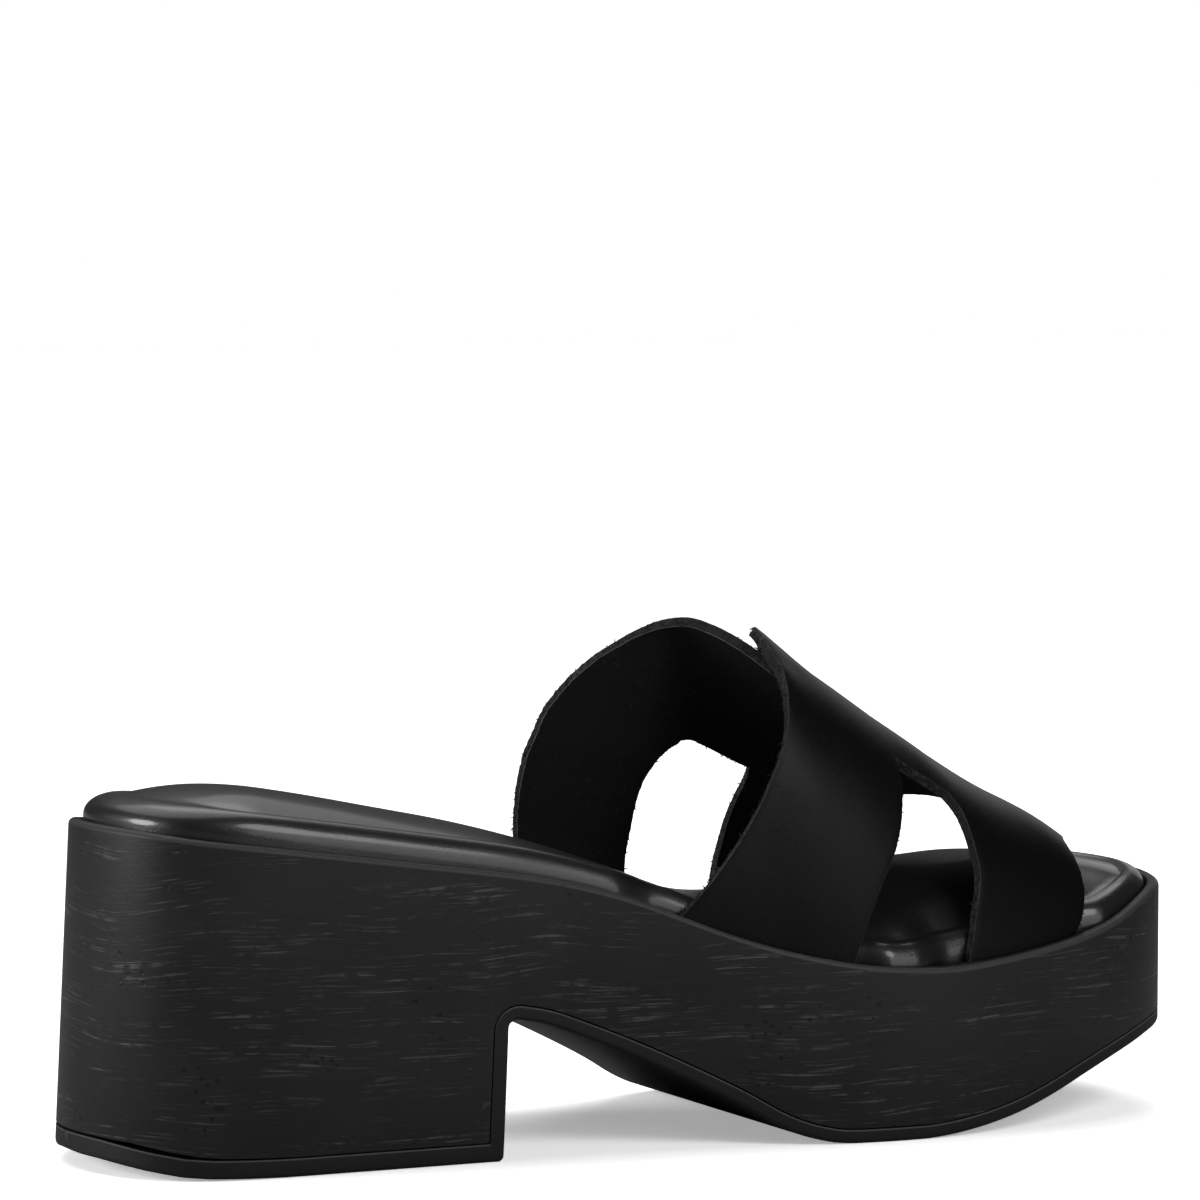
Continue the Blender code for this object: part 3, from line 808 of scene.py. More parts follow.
@cache
def leather_group():
    """Fine leather grain: small flat cells with creases between them, and soft clouds."""
    t, given, result = new_group("Leather grain", ("Height", "Cloud"), Cells=1500.0, Clouds=45.0)
    place = given["Vector"]
    cells = t.feed(t.add("ShaderNodeTexVoronoi", feature="DISTANCE_TO_EDGE"),
                   Vector=place, Scale=given["Cells"])
    cell = t.between(cells.outputs["Distance"], 0.0, 0.22)
    fine = t.noise(place, t.times(given["Cells"], 1.7), 3.0, 0.6)
    cloud = t.noise(place, given["Clouds"], 3.0, 0.55)
    height = t.plus(t.times(cell, 0.5), t.times(fine, 0.5))
    t.feed(result, Height=height, Cloud=cloud)
    return t.tree


@cache
def nap_group():
    """Fuzzy nap of raw leather: short tangled fibres and pale tufts."""
    t, given, result = new_group("Raw nap", ("Height", "Tuft"), Scale=1400.0, Tufts=0.5)
    place = given["Vector"]
    fuzz = t.noise(place, given["Scale"], 4.0, 0.75)
    tuft = t.noise(place, t.times(given["Scale"], 0.45), 3.0, 0.7)
    limit = t.minus(0.72, t.times(given["Tufts"], 0.25))
    patch = t.between(t.noise(place, 60.0, 2.0), 0.40, 0.62)
    pale = t.times(t.between(tuft, limit, t.plus(limit, 0.08)), patch)
    t.feed(result, Height=fuzz, Tuft=pale)
    return t.tree


@cache
def wear_group():
    """Scuffs and dust: scattered pale dots and short rubs, more near a height."""
    t, given, result = new_group("Scuffs", ("Mask", "Cloud"), Scale=260.0, Amount=0.4)
    place = given["Vector"]
    rub = t.noise(t.stretched(place, (0.6, 0.6, 1.4)), given["Scale"], 3.0, 0.65)
    area = t.noise(place, 26.0, 2.0)
    limit = t.minus(0.80, t.times(given["Amount"], 0.25))
    mask = t.times(t.between(rub, limit, t.plus(limit, 0.08)), t.between(area, 0.50, 0.64))
    t.feed(result, Mask=mask, Cloud=t.noise(place, 34.0, 3.0))
    return t.tree


def material(name, roughness, coat=0.0, coat_roughness=0.1, specular=0.5):
    """Material with its shader, its tree and Object coordinates."""
    made = bpy.data.materials.new(name)
    made.use_nodes = True
    t = Tree(made.node_tree)
    shader = t.nodes["Principled BSDF"]
    t.feed(shader, Roughness=roughness, Coat_Weight=coat, Coat_Roughness=coat_roughness,
           Specular_IOR_Level=specular)
    place = t.add("ShaderNodeTexCoord").outputs["Object"]
    return made, t, shader, place


def use(t, group, **inputs):
    """Outputs of a shared group, which is built only once, placed with its own values."""
    return t.feed(t.add("ShaderNodeGroup", node_tree=group()), **inputs).outputs


def rgba(colour, tone=1.0):
    """Colour with its alpha, darker or paler by a factor."""
    return (*(part * tone for part in colour), 1.0)


def block_material(finish):
    """Moulded block with a brushed-on wood look, and a painted highlight along its rim."""
    made, t, shader, place = material("sole_block_streaked", 0.5, specular=0.24)
    grain = use(t, grain_group, Vector=place, Length=0.0240, Width=0.00032, Amount=0.80)
    fine = use(t, grain_group, Vector=place, Length=0.0110, Width=0.00024, Amount=0.95)
    wear_and_highlight = use(t, wear_group, Vector=place, Scale=300.0, Amount=0.55)
    streak = t.most(grain["Streaks"], t.times(fine["Streaks"], 0.45))
    base = t.tones(t.between(wear_and_highlight["Cloud"], 0.35, 0.70), finish.block, 0.86, 1.18)
    colour = t.mix(t.times(streak, 0.85), base, rgba(finish.streak))
    # Pale scuffs, and a painted highlight along the rim's rounded top edge, both in the streaks' colour
    scuff_and_highlight = t.most(t.times(wear_and_highlight["Mask"], 0.45), t.scuff_and_highlight(0.42))
    colour = t.mix(scuff_and_highlight, colour, rgba(finish.streak))
    colour = t.mix(t.times(grain["Pores"], 0.75), colour, rgba(finish.block, 0.2))
    t.feed(shader, Base_Color=colour, Roughness=t.plus(0.40, t.times(wear_and_highlight["Cloud"], 0.16)))
    soft = t.bump(t.noise(t.stretched(place, (1.0, 1.0, 3.0)), 900.0, 3.0, 0.6), 0.00004)
    t.feed(shader, Normal=t.bump(grain["Height"], 0.00008, soft))
    return made


def rubber_material(finish):
    """Plain moulded rubber, with a painted highlight along its upper lip."""
    made, t, shader, place = material("outsole_rubber_fine", 0.55, specular=0.30)
    wear_and_highlight = use(t, wear_group, Vector=place, Scale=240.0, Amount=0.45)
    base = t.tones(wear_and_highlight["Cloud"], finish.rubber, 0.8, 1.2)
    # Pale scuffs, and a painted highlight along the rounded upper lip, in the streaks' colour
    scuff_and_highlight = t.most(t.times(wear_and_highlight["Mask"], 0.35), t.scuff_and_highlight(0.80))
    t.feed(shader, Base_Color=t.mix(scuff_and_highlight, base, rgba(finish.streak)),
           Normal=t.bump(t.noise(place, 1800.0, 3.0, 0.6), 0.00005))
    return made


def footbed_material(finish):
    """Very glossy lining leather, padded."""
    made, t, shader, place = material("footbed_leather_gloss", 0.36, 0.60, 0.15)
    leather = use(t, leather_group, Vector=place, Cells=900.0, Clouds=38.0)
    cloud = leather["Cloud"]
    t.feed(shader, Base_Color=t.tones(cloud, finish.footbed, 0.75, 1.3),
           Roughness=t.plus(0.32, t.times(cloud, 0.14)),
           Normal=t.bump(leather["Height"], 0.00003, t.bump(cloud, 0.00025)))
    return made


def leather_material(finish):
    """Smooth semi-gloss face of the straps."""
    made, t, shader, place = material("strap_leather_face", 0.36, 0.03, 0.25, specular=0.12)
    leather = use(t, leather_group, Vector=place, Cells=1500.0, Clouds=30.0)
    wear_and_highlight = use(t, wear_group, Vector=place, Scale=500.0, Amount=0.30)
    cloud = leather["Cloud"]
    colour = t.tones(cloud, finish.leather, 0.8, 1.25)
    t.feed(shader, Base_Color=t.mix(t.times(wear_and_highlight["Mask"], 0.25), colour, rgba(finish.edge)),
           Roughness=t.plus(0.31, t.times(cloud, 0.12)),
           Normal=t.bump(leather["Height"], 0.00004, t.bump(cloud, 0.0003)))
    return made


def flesh_material(finish):
    """Matte flesh side of the straps, with pale fuzz."""
    made, t, shader, place = material("strap_flesh_side", 0.95, specular=0.10)
    nap = use(t, nap_group, Vector=place, Scale=2000.0, Tufts=0.55)
    colour = t.mix(t.times(nap["Tuft"], 0.6), rgba(finish.flesh), rgba(finish.edge))
    t.feed(shader, Base_Color=colour, Normal=t.bump(nap["Height"], 0.0002))
    return made


def edge_material(finish):
    """Raw cut edge, grey and fuzzy."""
    made, t, shader, place = material("strap_cut_edge", 0.9, specular=0.20)
    nap = use(t, nap_group, Vector=place, Scale=1700.0, Tufts=0.9)
    colour = t.tones(nap["Tuft"], finish.edge, 1.0, 3.2)
    colour = t.mix(nap["Height"], rgba(finish.edge, 0.4), colour)
    t.feed(shader, Base_Color=colour, Normal=t.bump(nap["Height"], 0.00025))
    return made


def corner_material(finish):
    """Corner between a strap's face and its cut edge: glossy, and painted paler as a highlight along the
    rounded edge.
    """
    made, t, shader, place = material("strap_corner_painted_highlight", 0.45, specular=0.4)
    nap = use(t, nap_group, Vector=place, Scale=900.0, Tufts=0.7)
    t.feed(shader, Base_Color=t.tones(nap["Height"], finish.corner, 0.6, 1.4))
    return made


# Sole block


def sole_rings():
    """Rings of the block from below its foot, over the rounded rim, down into the well."""
    ring = outline(PLAN_STEPS)

    def level(depth, drop):
        plan = inset(ring, depth)
        return flared(np.column_stack([plan, rim_height(plan) - drop]))

    rings = [flared(np.column_stack([ring, np.full(len(ring), -HEEL_LAYER)]))]
    rings += [level(RIM_ROUND * across, RIM_ROUND * down) for across, down in quarter()]
    inner_edge = RIM_ROUND / 3
    rings += [level(RIM_WIDTH - inner_edge * down, inner_edge * across) for across, down in quarter()]
    rings.append(level(RIM_WIDTH, WELL_DEPTH))
    return rings


def under_cutter():
    """Everything below the block: its side line drawn out across the foot along the skew."""
    line = side_line(HEEL_LAYER + GAP, LAYER + GAP)
    corners = np.vstack([line, [(line[-1, 0], -HEEL_HEIGHT), (line[0, 0], -HEEL_HEIGHT)]])
    rings = [[(x + lead(side, UNDER_SKEW) - HEEL_REST, side, z) for x, z in corners]
             for side in (-2 * BALL_HALF, 2 * BALL_HALF)]
    return mesh_object("under", *drum(rings))


class CLOG_OT_block(bpy.types.Operator):
    """Make the moulded block with its rim and well"""

    bl_idname = "clog.block"
    bl_label = "Sole Block"

    def execute(self, context):
        rings = sole_rings()
        vertices, faces = stack(rings)
        scuff_and_highlight = np.zeros((len(rings), len(rings[0])))
        # Rings round the rim's outer rounding are marked for the painted highlight
        scuff_and_highlight[2:ARC_STEPS] = 1.0
        block = mesh_object("block", placed(vertices), faces, [block_material(context.scene.clog_finish)],
                            scuff_and_highlight.ravel())
        cutter = under_cutter()
        step = block.modifiers.new("under", "BOOLEAN")
        step.operation = "DIFFERENCE"
        step.solver = "EXACT"
        step.object = cutter
        round_off(block, SEAM_EDGE, SEAM_ANGLE)
        finished(block, "clog_block", ["sole"])
        bpy.data.objects.remove(cutter, do_unlink=True)
        return {"FINISHED"}


def round_off(item, width, angle, segments=2):
    """Round edges sharper than an angle in degrees."""
    step = item.modifiers.new("round", "BEVEL")
    step.width = width
    step.segments = segments
    step.limit_method = "ANGLE"
    step.angle_limit = math.radians(angle)
    step.use_clamp_overlap = True
    step.miter_outer = "MITER_ARC"
    return step


# Outsole


def outsole_places(inner, under, seam):
    """Where the outsole's cross sections lie along the shoe."""
    start, end = inner[0, 0], inner[-1, 0]
    ends = END_REACH * np.array(END_SHARES) ** 2
    between = np.arange(start + END_REACH, BREAST - LAYER, STATION)
    corner = seam[:len(HEEL_ROLL) + CORNER_POINTS + 1, 0]
    places = np.concatenate([start + ends, between, under[:, 0], corner, end - ends])
    places = np.unique(places[(places > start) & (places < end)])
    return places[np.concatenate([[True], np.diff(places) > GAP / 8])]


def outsole_rings():
    """Cross sections of the rubber layer from heel to toe, with a rounded lip and lower edge."""
    inner, outer = skewed_sides(outline(FINE_STEPS), UNDER_SKEW)
    under = side_line(0, 0)
    seam = side_line(HEEL_LAYER, LAYER)
    rings = []
    for place in outsole_places(inner, under, seam):
        side_in, side_out, low, high = (np.interp(place, line[:, 0], line[:, 1])
                                        for line in (inner, outer, under, seam))
        reach = min(place - inner[0, 0], inner[-1, 0] - place, SOLE_EDGE)
        lift = SOLE_EDGE - math.sqrt(SOLE_EDGE**2 - (SOLE_EDGE - reach) ** 2)
        low += lift
        edge = min(SOLE_EDGE - lift, (side_out - side_in) / 3)
        lip = min(SEAM_LIP, (side_out - side_in) / 3)
        half = [(lip * down, high - lip * across) for across, down in quarter()]
        half.append((0.0, high - 2 * lip))
        half += [(edge * across, low + edge * down) for across, down in quarter()]
        section = [(side_in + depth, z) for depth, z in half]
        section += [(side_out - depth, z) for depth, z in reversed(half)]
        rings.append([(place + lead(side, UNDER_SKEW), side, z) for side, z in section])
    return rings


class CLOG_OT_outsole(bpy.types.Operator):
    """Make the rubber layer under the block, with its seam lip"""

    bl_idname = "clog.outsole"
    bl_label = "Outsole"

    def execute(self, context):
        rings = outsole_rings()
        vertices, faces = drum(rings)
        scuff_and_highlight = np.zeros((len(rings), len(rings[0])))
        # Points round the outsole's rounded upper lip are marked for the painted highlight
        scuff_and_highlight[:, 3:ARC_STEPS + 1] = 1.0
        scuff_and_highlight[:, -ARC_STEPS - 1:-3] = 1.0
        layer = mesh_object("layer", placed(flared(vertices)), faces,
                            [rubber_material(context.scene.clog_finish)], scuff_and_highlight.ravel())
        finished(layer, "clog_outsole", ["outsole"])
        return {"FINISHED"}


# Footbed


# Straps' feet, to which the footbed's roll gives way. side, table, columns of the rear and front edge,
# girth of the foot, room in front of it
FEET = (
    ("inner", OUTER, 1, 2, 0, -POCKET_MARGIN),
    ("inner", OUTER, 3, 4, 0, FOOT_AHEAD),
    ("outer", OUTER, 1, 4, 1, FOOT_AHEAD),
    ("outer", UNDER, 1, 2, 1, 0.0),
)


def foot_share(share, outer_side):
    """How far the roll gives way to the straps' feet, from 0 to 1, along the footbed's edge."""
    given = np.zeros(len(share))
    for name, table, rear, front, foot, ahead in FEET:
        low = through(table, [foot], rear)[0] - POCKET_MARGIN / LENGTH
        high = through(table, [foot], front)[0] + (POCKET_MARGIN + ahead) / LENGTH
        reach = FOOT_RAMP / LENGTH
        window = ramp((share - low + reach) / reach) * ramp((high + reach - share) / reach)
        side = outer_side if name == "outer" else ~outer_side
        given = np.maximum(given, window * side)
    return given


def squeezed(share, outer_side):
    """Soft lumps and troughs of the roll beside the straps' feet, as shares of ROLL_HEIGHT."""
    pucker = np.zeros(len(share))
    for along, which, reach, height in PUCKERS:
        pucker += height * hill((share - along) / (2 * reach)) * (outer_side == (which > 0))
    wrinkle = np.sin(share * WRINKLES + 3 * np.sin(share * WRINKLE_DRIFT))
    wrinkle *= 0.5 + 0.5 * np.sin(share * WRINKLE_FADE + 1)
    near_feet = sum(hill((share - along) / reach) for along, reach in WRINKLED)
    return pucker + WRINKLE_SHARE * wrinkle * np.clip(near_feet, 0, 1)


def footbed_mesh(roll):
    """Vertices and faces of the padded footbed."""
    ring = outline(BED_STEPS)
    count = len(ring)
    inward = inset(ring, 1) - ring
    outer_side = np.arange(count) > count // 2
    share = along_share(ring)
    side = RIM_WIDTH + GAP
    tall = ROLL_TALL * roll
    softer, reach = HEEL_SOFT
    at_back = ramp(1 - share / reach)
    deep = (roll * (1 + softer * at_back))[:, None]
    amount = foot_share(share, outer_side) * (STRAP + 2 * GAP)
    pushed = inward * amount[:, None]
    pucker = squeezed(share, outer_side)
    floor = 2 * GAP - WELL_DEPTH

    def edge_height(plan):
        return ROLL_HEIGHT * through(FOOTBED, along_share(plan), 2)

    def swell(plan, distance):
        part = np.clip(distance / width, 0, 1)
        return CROWN_RISE * through(FOOTBED, along_share(plan)) * (1 - (1 - part) ** 2)

    def laid(plan, rise, push=1.0):
        return np.column_stack([plan + push * pushed, rim_height(plan) + rise])

    edge = ring + inward * (side + deep)
    half = count // 2
    inner = edge[:half + 1]
    outer = np.vstack([edge[:1], edge[:half - 1:-1]])
    spine_x = np.clip(edge[:, 0], BALL_HALF, LENGTH - BALL_HALF)
    spine_y = sum(np.interp(spine_x, edges[:, 0], edges[:, 1]) for edges in (inner, outer)) / 2
    spine = np.column_stack([spine_x, spine_y])
    width = np.linalg.norm(spine - edge, axis=1)
    lifted = swell(edge, FOOT_LIFT * amount)

    rings = [laid(ring + inward * (side + SOLE_EDGE), floor), laid(ring + inward * side, floor + SOLE_EDGE)]
    for across, down in quarter(2 * ARC_STEPS):
        plan = ring + inward * (side + deep * across)
        rise = edge_height(plan) - tall * down + lifted * (1 - down)
        rise += pucker * ROLL_HEIGHT * (1 - down) ** 2
        rings.append(laid(plan, rise))
    for step in range(1, CROWN_STEPS + 1):
        part = CROWN_REACH * (step / CROWN_STEPS) ** CROWN_SPREAD
        plan = edge + part * (spine - edge)
        distance = part * width
        push = hill(distance / PUSH_REACH)
        fall = ramp(distance / VALLEY_FALL) * np.clip(1 - (distance - VALLEY_FALL) / VALLEY_RISE, 0, 1) ** 2
        rise = edge_height(plan) + swell(plan, distance + FOOT_LIFT * push * amount)
        rise -= VALLEY_DEPTH * fall * (1 - at_back)
        rise += pucker * ROLL_HEIGHT * hill(distance / VALLEY_RISE)
        rings.append(laid(plan, rise, push[:, None]))
    return stack(rings)


class CLOG_OT_footbed(bpy.types.Operator):
    """Make the padded footbed with its rolled edge"""

    bl_idname = "clog.footbed"
    bl_label = "Footbed"

    def execute(self, context):
        vertices, faces = footbed_mesh(context.scene.clog_form.roll)
        pad = mesh_object("pad", placed(vertices), faces, [footbed_material(context.scene.clog_finish)])
        piece = finished(pad, "clog_footbed", ["insole"])
        return {"FINISHED"}


# Straps


def creases(table, along, girth):
    """Soft troughs and ridges of a leather, in metres outward."""
    height = np.zeros(np.shape(along))
    for place, turn, reach, wide, share in table:
        away = np.hypot((along / LENGTH - place) / reach, (girth - turn) / wide)
        height += share * STRAP * hill(away / CREASE_SPREAD)
    return height


def ragged(edge, girth, phase):
    """Cut edge with the small unevenness of a knife's way through thick leather."""
    way = girth * math.tau * RAGGED_TURNS
    slow, middle, fast = (np.sin(speed * way + turn * phase) for turn, speed in enumerate(RAGGED_WAVES, 1))
    wave = slow * (0.6 + middle + fast)
    return edge + RAGGED / LENGTH * wave * ramp(girth / RAGGED_FADE) * ramp((1 - girth) / RAGGED_FADE)


def panel(shape, girth, rear, front, table, out=0.0, tab=None):
    """Add a fine patch of leather between two edges, with its creases."""
    share = np.linspace(0, 1, SHEET_WIDE + 1)
    along = LENGTH * (rear[:, None] + (front - rear)[:, None] * share)
    over = np.repeat(girth[:, None], SHEET_WIDE + 1, axis=1)
    lift = np.reshape(out, (-1, 1)) + creases(table, along, over)
    if tab is not None:
        middle, wide, reach = TAB
        lift = lift + TAB_LIFT * hill((over - middle) / wide) * ramp(
            1 - (along / LENGTH - tab[:, None]) / reach)
    grid = last_surface(along, over) + last_normal(along, over) * lift[:, :, None]
    points = [[shape.verts.new(point) for point in placed(row)] for row in grid]
    for low, high in zip(points[:-1], points[1:]):
        for j in range(SHEET_WIDE):
            shape.faces.new((low[j], low[j + 1], high[j + 1], high[j]))


def outer_leather():
    """Outer leather: two inner arms round the window, then one panel over the crest."""
    shape = bmesh.new()
    girth = WINDOW_TOP * np.sin(np.linspace(0, math.pi / 2, ARM_LONG + 1))
    near = ragged(through(OUTER, girth, 1), girth, 0.4)
    far = ragged(through(OUTER, girth, 4), girth, 1.9)
    top = ramp((WINDOW_TOP - girth) / WINDOW_FADE)
    rear = through(OUTER, girth, 2)
    front = through(OUTER, girth, 3)
    rear = rear + top * (ragged(rear, girth, 2.7) - rear)
    front = front + top * (ragged(front, girth, 5.1) - front)
    panel(shape, girth, near, rear, OUTER_CREASES)
    panel(shape, girth, front, far, OUTER_CREASES)
    girth = np.linspace(WINDOW_TOP, 1, SHEET_LONG + 1)
    near = ragged(through(OUTER, girth, 1), girth, 0.4)
    far = ragged(through(OUTER, girth, 4), girth, 1.9)
    middle = through(OUTER, girth, 2)
    panel(shape, girth, near, middle, OUTER_CREASES, tab=near)
    panel(shape, girth, middle, far, OUTER_CREASES, tab=near)
    return shape


def under_leather():
    """Strap from beneath the outer leather to the outer rear foot."""
    shape = bmesh.new()
    girth = np.union1d(np.linspace(UNDER[0][0], 1, SHEET_LONG + 1), np.linspace(*WINDOW_BEND, ARM_LONG))
    girth = girth[np.concatenate([[True], np.diff(girth) > GIRTH_STEP])]
    sunk = (STRAP + SHEET_REST) * np.clip((UNDER_FREE - girth) / UNDER_RISE, 0, 1)
    rear = ragged(through(UNDER, girth, 1), girth, 3.3)
    front = ragged(through(UNDER, girth, 2), girth, 4.6)
    panel(shape, girth, rear, front, UNDER_CREASES, out=-sunk)
    return shape


def sheet_object(shape, name, materials):
    """Open sheet of leather as an object, its faces turned outwards."""
    bmesh.ops.remove_doubles(shape, verts=shape.verts, dist=GAP / 10)
    bmesh.ops.recalc_face_normals(shape, faces=shape.faces)
    highest = max(shape.faces, key=lambda face: face.calc_center_median().z)
    if highest.normal.z < 0:
        bmesh.ops.reverse_faces(shape, faces=shape.faces)
    mesh = bpy.data.meshes.new(name)
    shape.to_mesh(mesh)
    shape.free()
    for each in materials:
        mesh.materials.append(each)
    return linked(name, mesh)


def fibre_tree():
    """Geometry Nodes: short fibres along the open edges of a sheet."""
    tree = bpy.data.node_groups.new("Raw edge fibres", "GeometryNodeTree")
    face = tree.interface
    face.new_socket(name="Sheet", in_out="INPUT", socket_type="NodeSocketGeometry")
    for label, default in (("Length", 0.0006), ("Radius", 0.00005), ("Spacing", 0.0004), ("Spread", 0.001)):
        face.new_socket(name=label, in_out="INPUT", socket_type=FLOAT).default_value = default
    face.new_socket(name="Seed", in_out="INPUT", socket_type="NodeSocketInt").default_value = 1
    face.new_socket(name="Material", in_out="INPUT", socket_type="NodeSocketMaterial")
    face.new_socket(name="Fibres", in_out="OUTPUT", socket_type="NodeSocketGeometry")
    t = Tree(tree)
    given = t.add("NodeGroupInput").outputs
    open_edge = t.add("FunctionNodeCompare", data_type="INT", operation="EQUAL")
    t.plug(open_edge.inputs[2], t.first("GeometryNodeInputMeshEdgeNeighbors"))
    t.plug(open_edge.inputs[3], 1)
    kept = t.add("GeometryNodeStoreNamedAttribute", data_type="FLOAT_VECTOR", domain="POINT")
    t.feed(kept, Geometry=given["Sheet"], Name="lean", Value=t.first("GeometryNodeInputNormal"))
    path = t.first("GeometryNodeMeshToCurve", Mesh=kept.outputs[0], Selection=open_edge.outputs[0])
    even = t.feed(t.add("GeometryNodeResampleCurve", mode="LENGTH"), Curve=path, Length=given["Spacing"])
    spread = t.feed(t.add("FunctionNodeRandomValue", data_type="FLOAT"), Seed=given["Seed"])
    t.plug(spread.inputs[2], t.times(given["Spread"], -1.0))
    t.plug(spread.inputs[3], given["Spread"])
    lean = t.feed(t.add("GeometryNodeInputNamedAttribute", data_type="FLOAT_VECTOR"), Name="lean")
    aside = t.feed(t.add("ShaderNodeVectorMath", operation="SCALE"), Scale=spread.outputs[1])
    t.plug(aside.inputs[0], lean.outputs[0])
    roots = t.first("GeometryNodeSetPosition", Geometry=even.outputs[0], Offset=aside.outputs[0])
    fibre = t.first("GeometryNodeMeshCone", Vertices=3, Radius_Top=0.0, Radius_Bottom=given["Radius"],
                    Depth=given["Length"])
    turn = t.add("FunctionNodeRandomValue", data_type="FLOAT_VECTOR")
    t.feed(turn, Seed=t.plus(given["Seed"], 1.0))
    turn.inputs[0].default_value = (0.0, 0.0, 0.0)
    turn.inputs[1].default_value = (math.tau, math.tau, math.tau)
    size = t.feed(t.add("FunctionNodeRandomValue", data_type="FLOAT"), Seed=t.plus(given["Seed"], 2.0))
    size.inputs[2].default_value, size.inputs[3].default_value = FIBRE_SIZES
    spots = t.first("GeometryNodeInstanceOnPoints", Points=roots, Instance=fibre, Rotation=turn.outputs[0],
                    Scale=size.outputs[1])
    plain = t.first("GeometryNodeRealizeInstances", Geometry=spots)
    coloured = t.first("GeometryNodeSetMaterial", Geometry=plain, Material=given["Material"])
    t.feed(t.add("NodeGroupOutput"), Fibres=coloured)
    return tree


def grow_fibres(sheet, tree, form, seed, edge):
    """Fibres of one sheet as their own object, from the tree."""
    item = linked("fibres", sheet.data.copy())
    step = item.modifiers.new("fibres", "NODES")
    step.node_group = tree
    values = {"Length": form.fibre_length, "Radius": form.fibre_radius, "Spacing": form.fibre_spacing,
              "Spread": form.strap / 2 - form.fibre_radius, "Seed": seed, "Material": edge}
    for socket in tree.interface.items_tree:
        if socket.in_out == "INPUT" and socket.name in values:
            step[socket.identifier] = values[socket.name]
    return item


class CLOG_OT_upper(bpy.types.Operator):
    """Make the crossed straps, cut from thick leather, with fibres on their raw edges"""

    bl_idname = "clog.upper"
    bl_label = "Crossed Straps"

    def execute(self, context):
        form = context.scene.clog_form
        finish = context.scene.clog_finish
        edge = edge_material(finish)
        materials = [leather_material(finish), flesh_material(finish), edge, corner_material(finish)]
        tree = fibre_tree()
        makers = (("clog_outer_leather", outer_leather), ("clog_under_strap", under_leather))
        for number, (name, maker) in enumerate(makers):
            sheet = sheet_object(maker(), name + "_sheet", materials)
            fibres = grow_fibres(sheet, tree, form, form.seed + 10 * number, edge)
            wall = sheet.modifiers.new("wall", "SOLIDIFY")
            wall.thickness = form.strap
            wall.offset = 0
            wall.use_even_offset = True
            wall.material_offset = 1
            wall.material_offset_rim = 2
            # The rounded corners take the material with the painted highlight
            round_off(sheet, form.strap_edge, CUT_ANGLE, 3).material = 3
            finished(sheet, name, ["upper"])
            finished(fibres, name + "_fibres", [])
        return {"FINISHED"}


# Studio


def aimed(item, place, target):
    """Put an object at a place, looking at another."""
    item.location = place
    item.rotation_euler = (Vector(target) - Vector(place)).to_track_quat("-Z", "Y").to_euler()


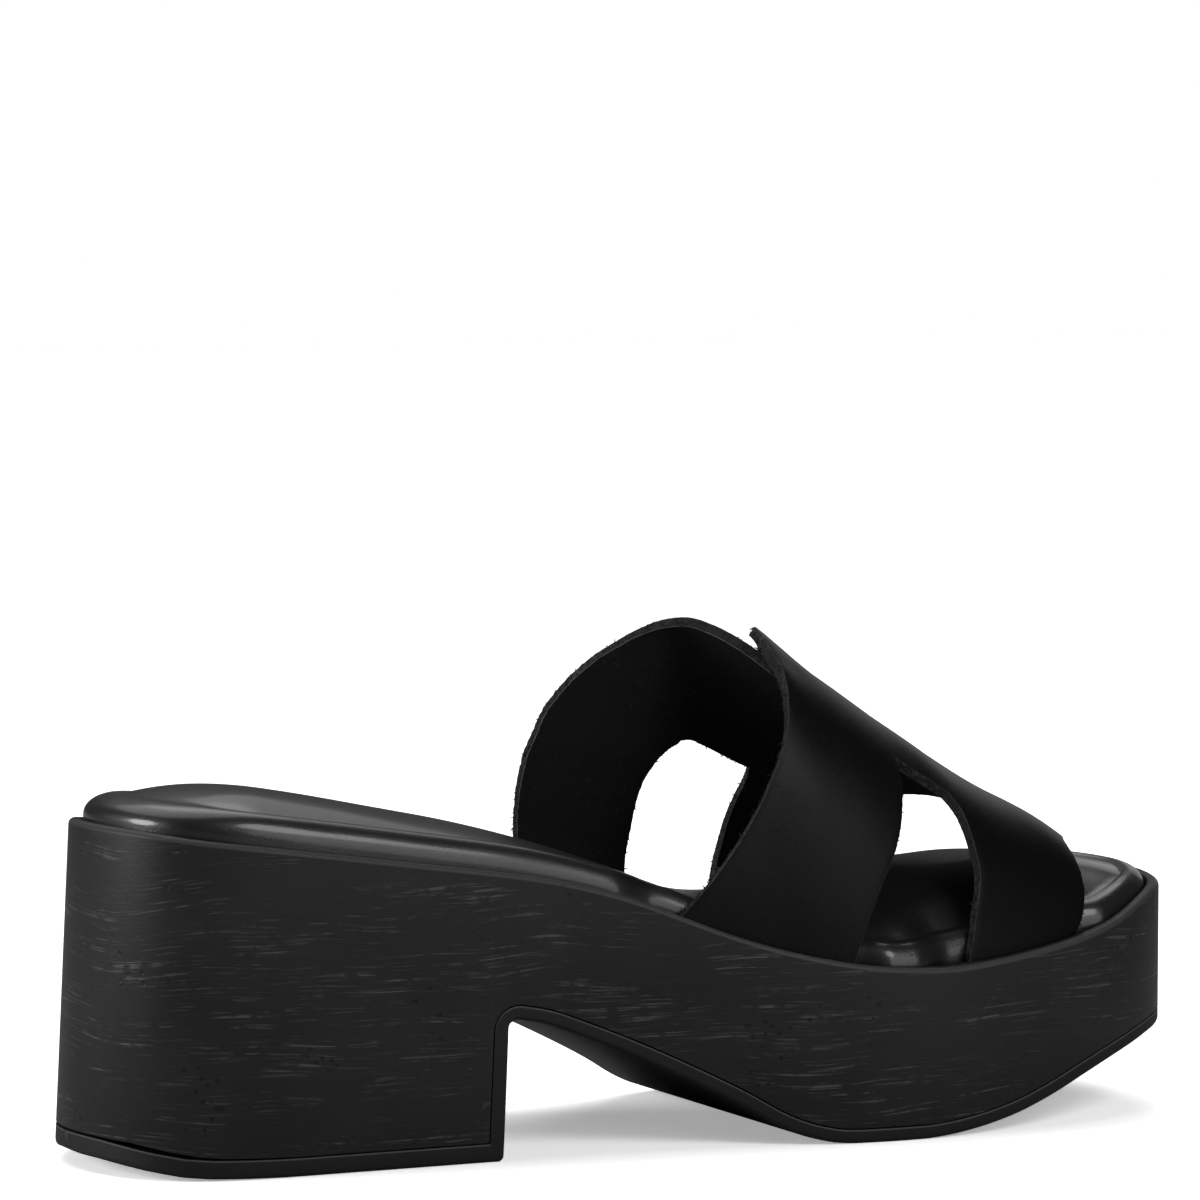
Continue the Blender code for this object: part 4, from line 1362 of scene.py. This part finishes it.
class CLOG_OT_stage(bpy.types.Operator):
    """Set the pale floor, the soft light and the camera"""

    bl_idname = "clog.stage"
    bl_label = "Studio"

    def execute(self, context):
        studio = context.scene.clog_studio
        scene = context.scene
        self.make_floor(studio)
        self.make_lights(studio)
        self.make_world(scene, studio)
        self.make_camera(scene, studio)
        scene.view_settings.view_transform = "Standard"
        return {"FINISHED"}

    def make_floor(self, studio):
        """Floor that the camera sees paler than it is lit."""
        made, t, shader, place = material("studio_floor", 0.9, specular=0.0)
        seen = t.add("ShaderNodeLightPath").outputs["Is Camera Ray"]
        t.feed(shader, Base_Color=t.tones(seen, studio.floor, studio.bounce, studio.gain),
               Emission_Color=rgba(studio.floor), Emission_Strength=t.times(seen, studio.glow))
        corners = [(x * FLOOR_HALF, y * FLOOR_HALF, 0) for x, y in ((-1, -1), (1, -1), (1, 1), (-1, 1))]
        mesh_object("studio_floor", corners, [(0, 1, 2, 3)], [made])

    def make_lights(self, studio):
        """Soft lamps round the shoe, and a wide one above it."""
        for name, place, target, size, power in LAMPS:
            lamp = bpy.data.lights.new(name, "AREA")
            lamp.shape = "DISK"
            lamp.size = size
            lamp.energy = power * studio.light
            aimed(linked(name, lamp), place, target)
        sky = bpy.data.lights.new("sky_soft", "SUN")
        sky.energy = studio.sky * studio.light
        sky.angle = SKY_WIDTH
        above = Vector((0, 0, 1))
        aimed(linked("sky_soft", sky), above, above + Vector(SKY_AIM))

    def make_world(self, scene, studio):
        """White behind the shoe, with little light of its own."""
        world = bpy.data.worlds.new("studio")
        world.use_nodes = True
        scene.world = world
        t = Tree(world.node_tree)
        shade = t.nodes["Background"]
        seen = t.add("ShaderNodeLightPath").outputs["Is Camera Ray"]
        t.feed(shade, Color=rgba((1.0, 1.0, 1.0)))
        t.feed(shade, Strength=t.plus(t.times(seen, 1.0 - studio.surround), studio.surround))

    def make_camera(self, scene, studio):
        """Camera at the photograph's angle to the shoe, upright."""
        camera = bpy.data.cameras.new("camera")
        camera.lens = studio.lens
        camera.sensor_width = SENSOR
        item = linked("camera", camera)
        forward = Vector(CAMERA_AIM).normalized()
        right = forward.cross(Vector((0, 0, 1))).normalized()
        turned = Matrix((right, right.cross(forward), -forward)).transposed().to_4x4()
        turned.translation = CAMERA_PLACE
        item.matrix_world = turned
        scene.camera = item


class CLOG_PT_panel(bpy.types.Panel):
    """Pieces of the clog, their sizes and their colours"""

    bl_label = "Heeled Clog"
    bl_space_type = "VIEW_3D"
    bl_region_type = "UI"
    bl_category = "Clog"

    def draw(self, context):
        layout = self.layout
        for maker in MAKERS:
            layout.operator(maker.bl_idname)
        for group in (context.scene.clog_form, context.scene.clog_finish, context.scene.clog_studio):
            column = layout.column(align=True)
            for key in group.__annotations__:
                column.prop(group, key)


MAKERS = (CLOG_OT_block, CLOG_OT_outsole, CLOG_OT_footbed, CLOG_OT_upper, CLOG_OT_stage)
SETTINGS = (ClogForm, ClogFinish, ClogStudio)


def register():
    for item in SETTINGS + MAKERS + (CLOG_PT_panel,):
        bpy.utils.register_class(item)
    bpy.types.Scene.clog_form = PointerProperty(type=ClogForm)
    bpy.types.Scene.clog_finish = PointerProperty(type=ClogFinish)
    bpy.types.Scene.clog_studio = PointerProperty(type=ClogStudio)


def unregister():
    del bpy.types.Scene.clog_form
    del bpy.types.Scene.clog_finish
    del bpy.types.Scene.clog_studio
    for item in reversed(SETTINGS + MAKERS + (CLOG_PT_panel,)):
        bpy.utils.unregister_class(item)


def main():
    """Build the dressed clog and its studio."""
    register()
    bpy.ops.clog.block()
    bpy.ops.clog.outsole()
    bpy.ops.clog.footbed()
    bpy.ops.clog.upper()
    bpy.ops.clog.stage()


if __name__ == "__main__":
    main()
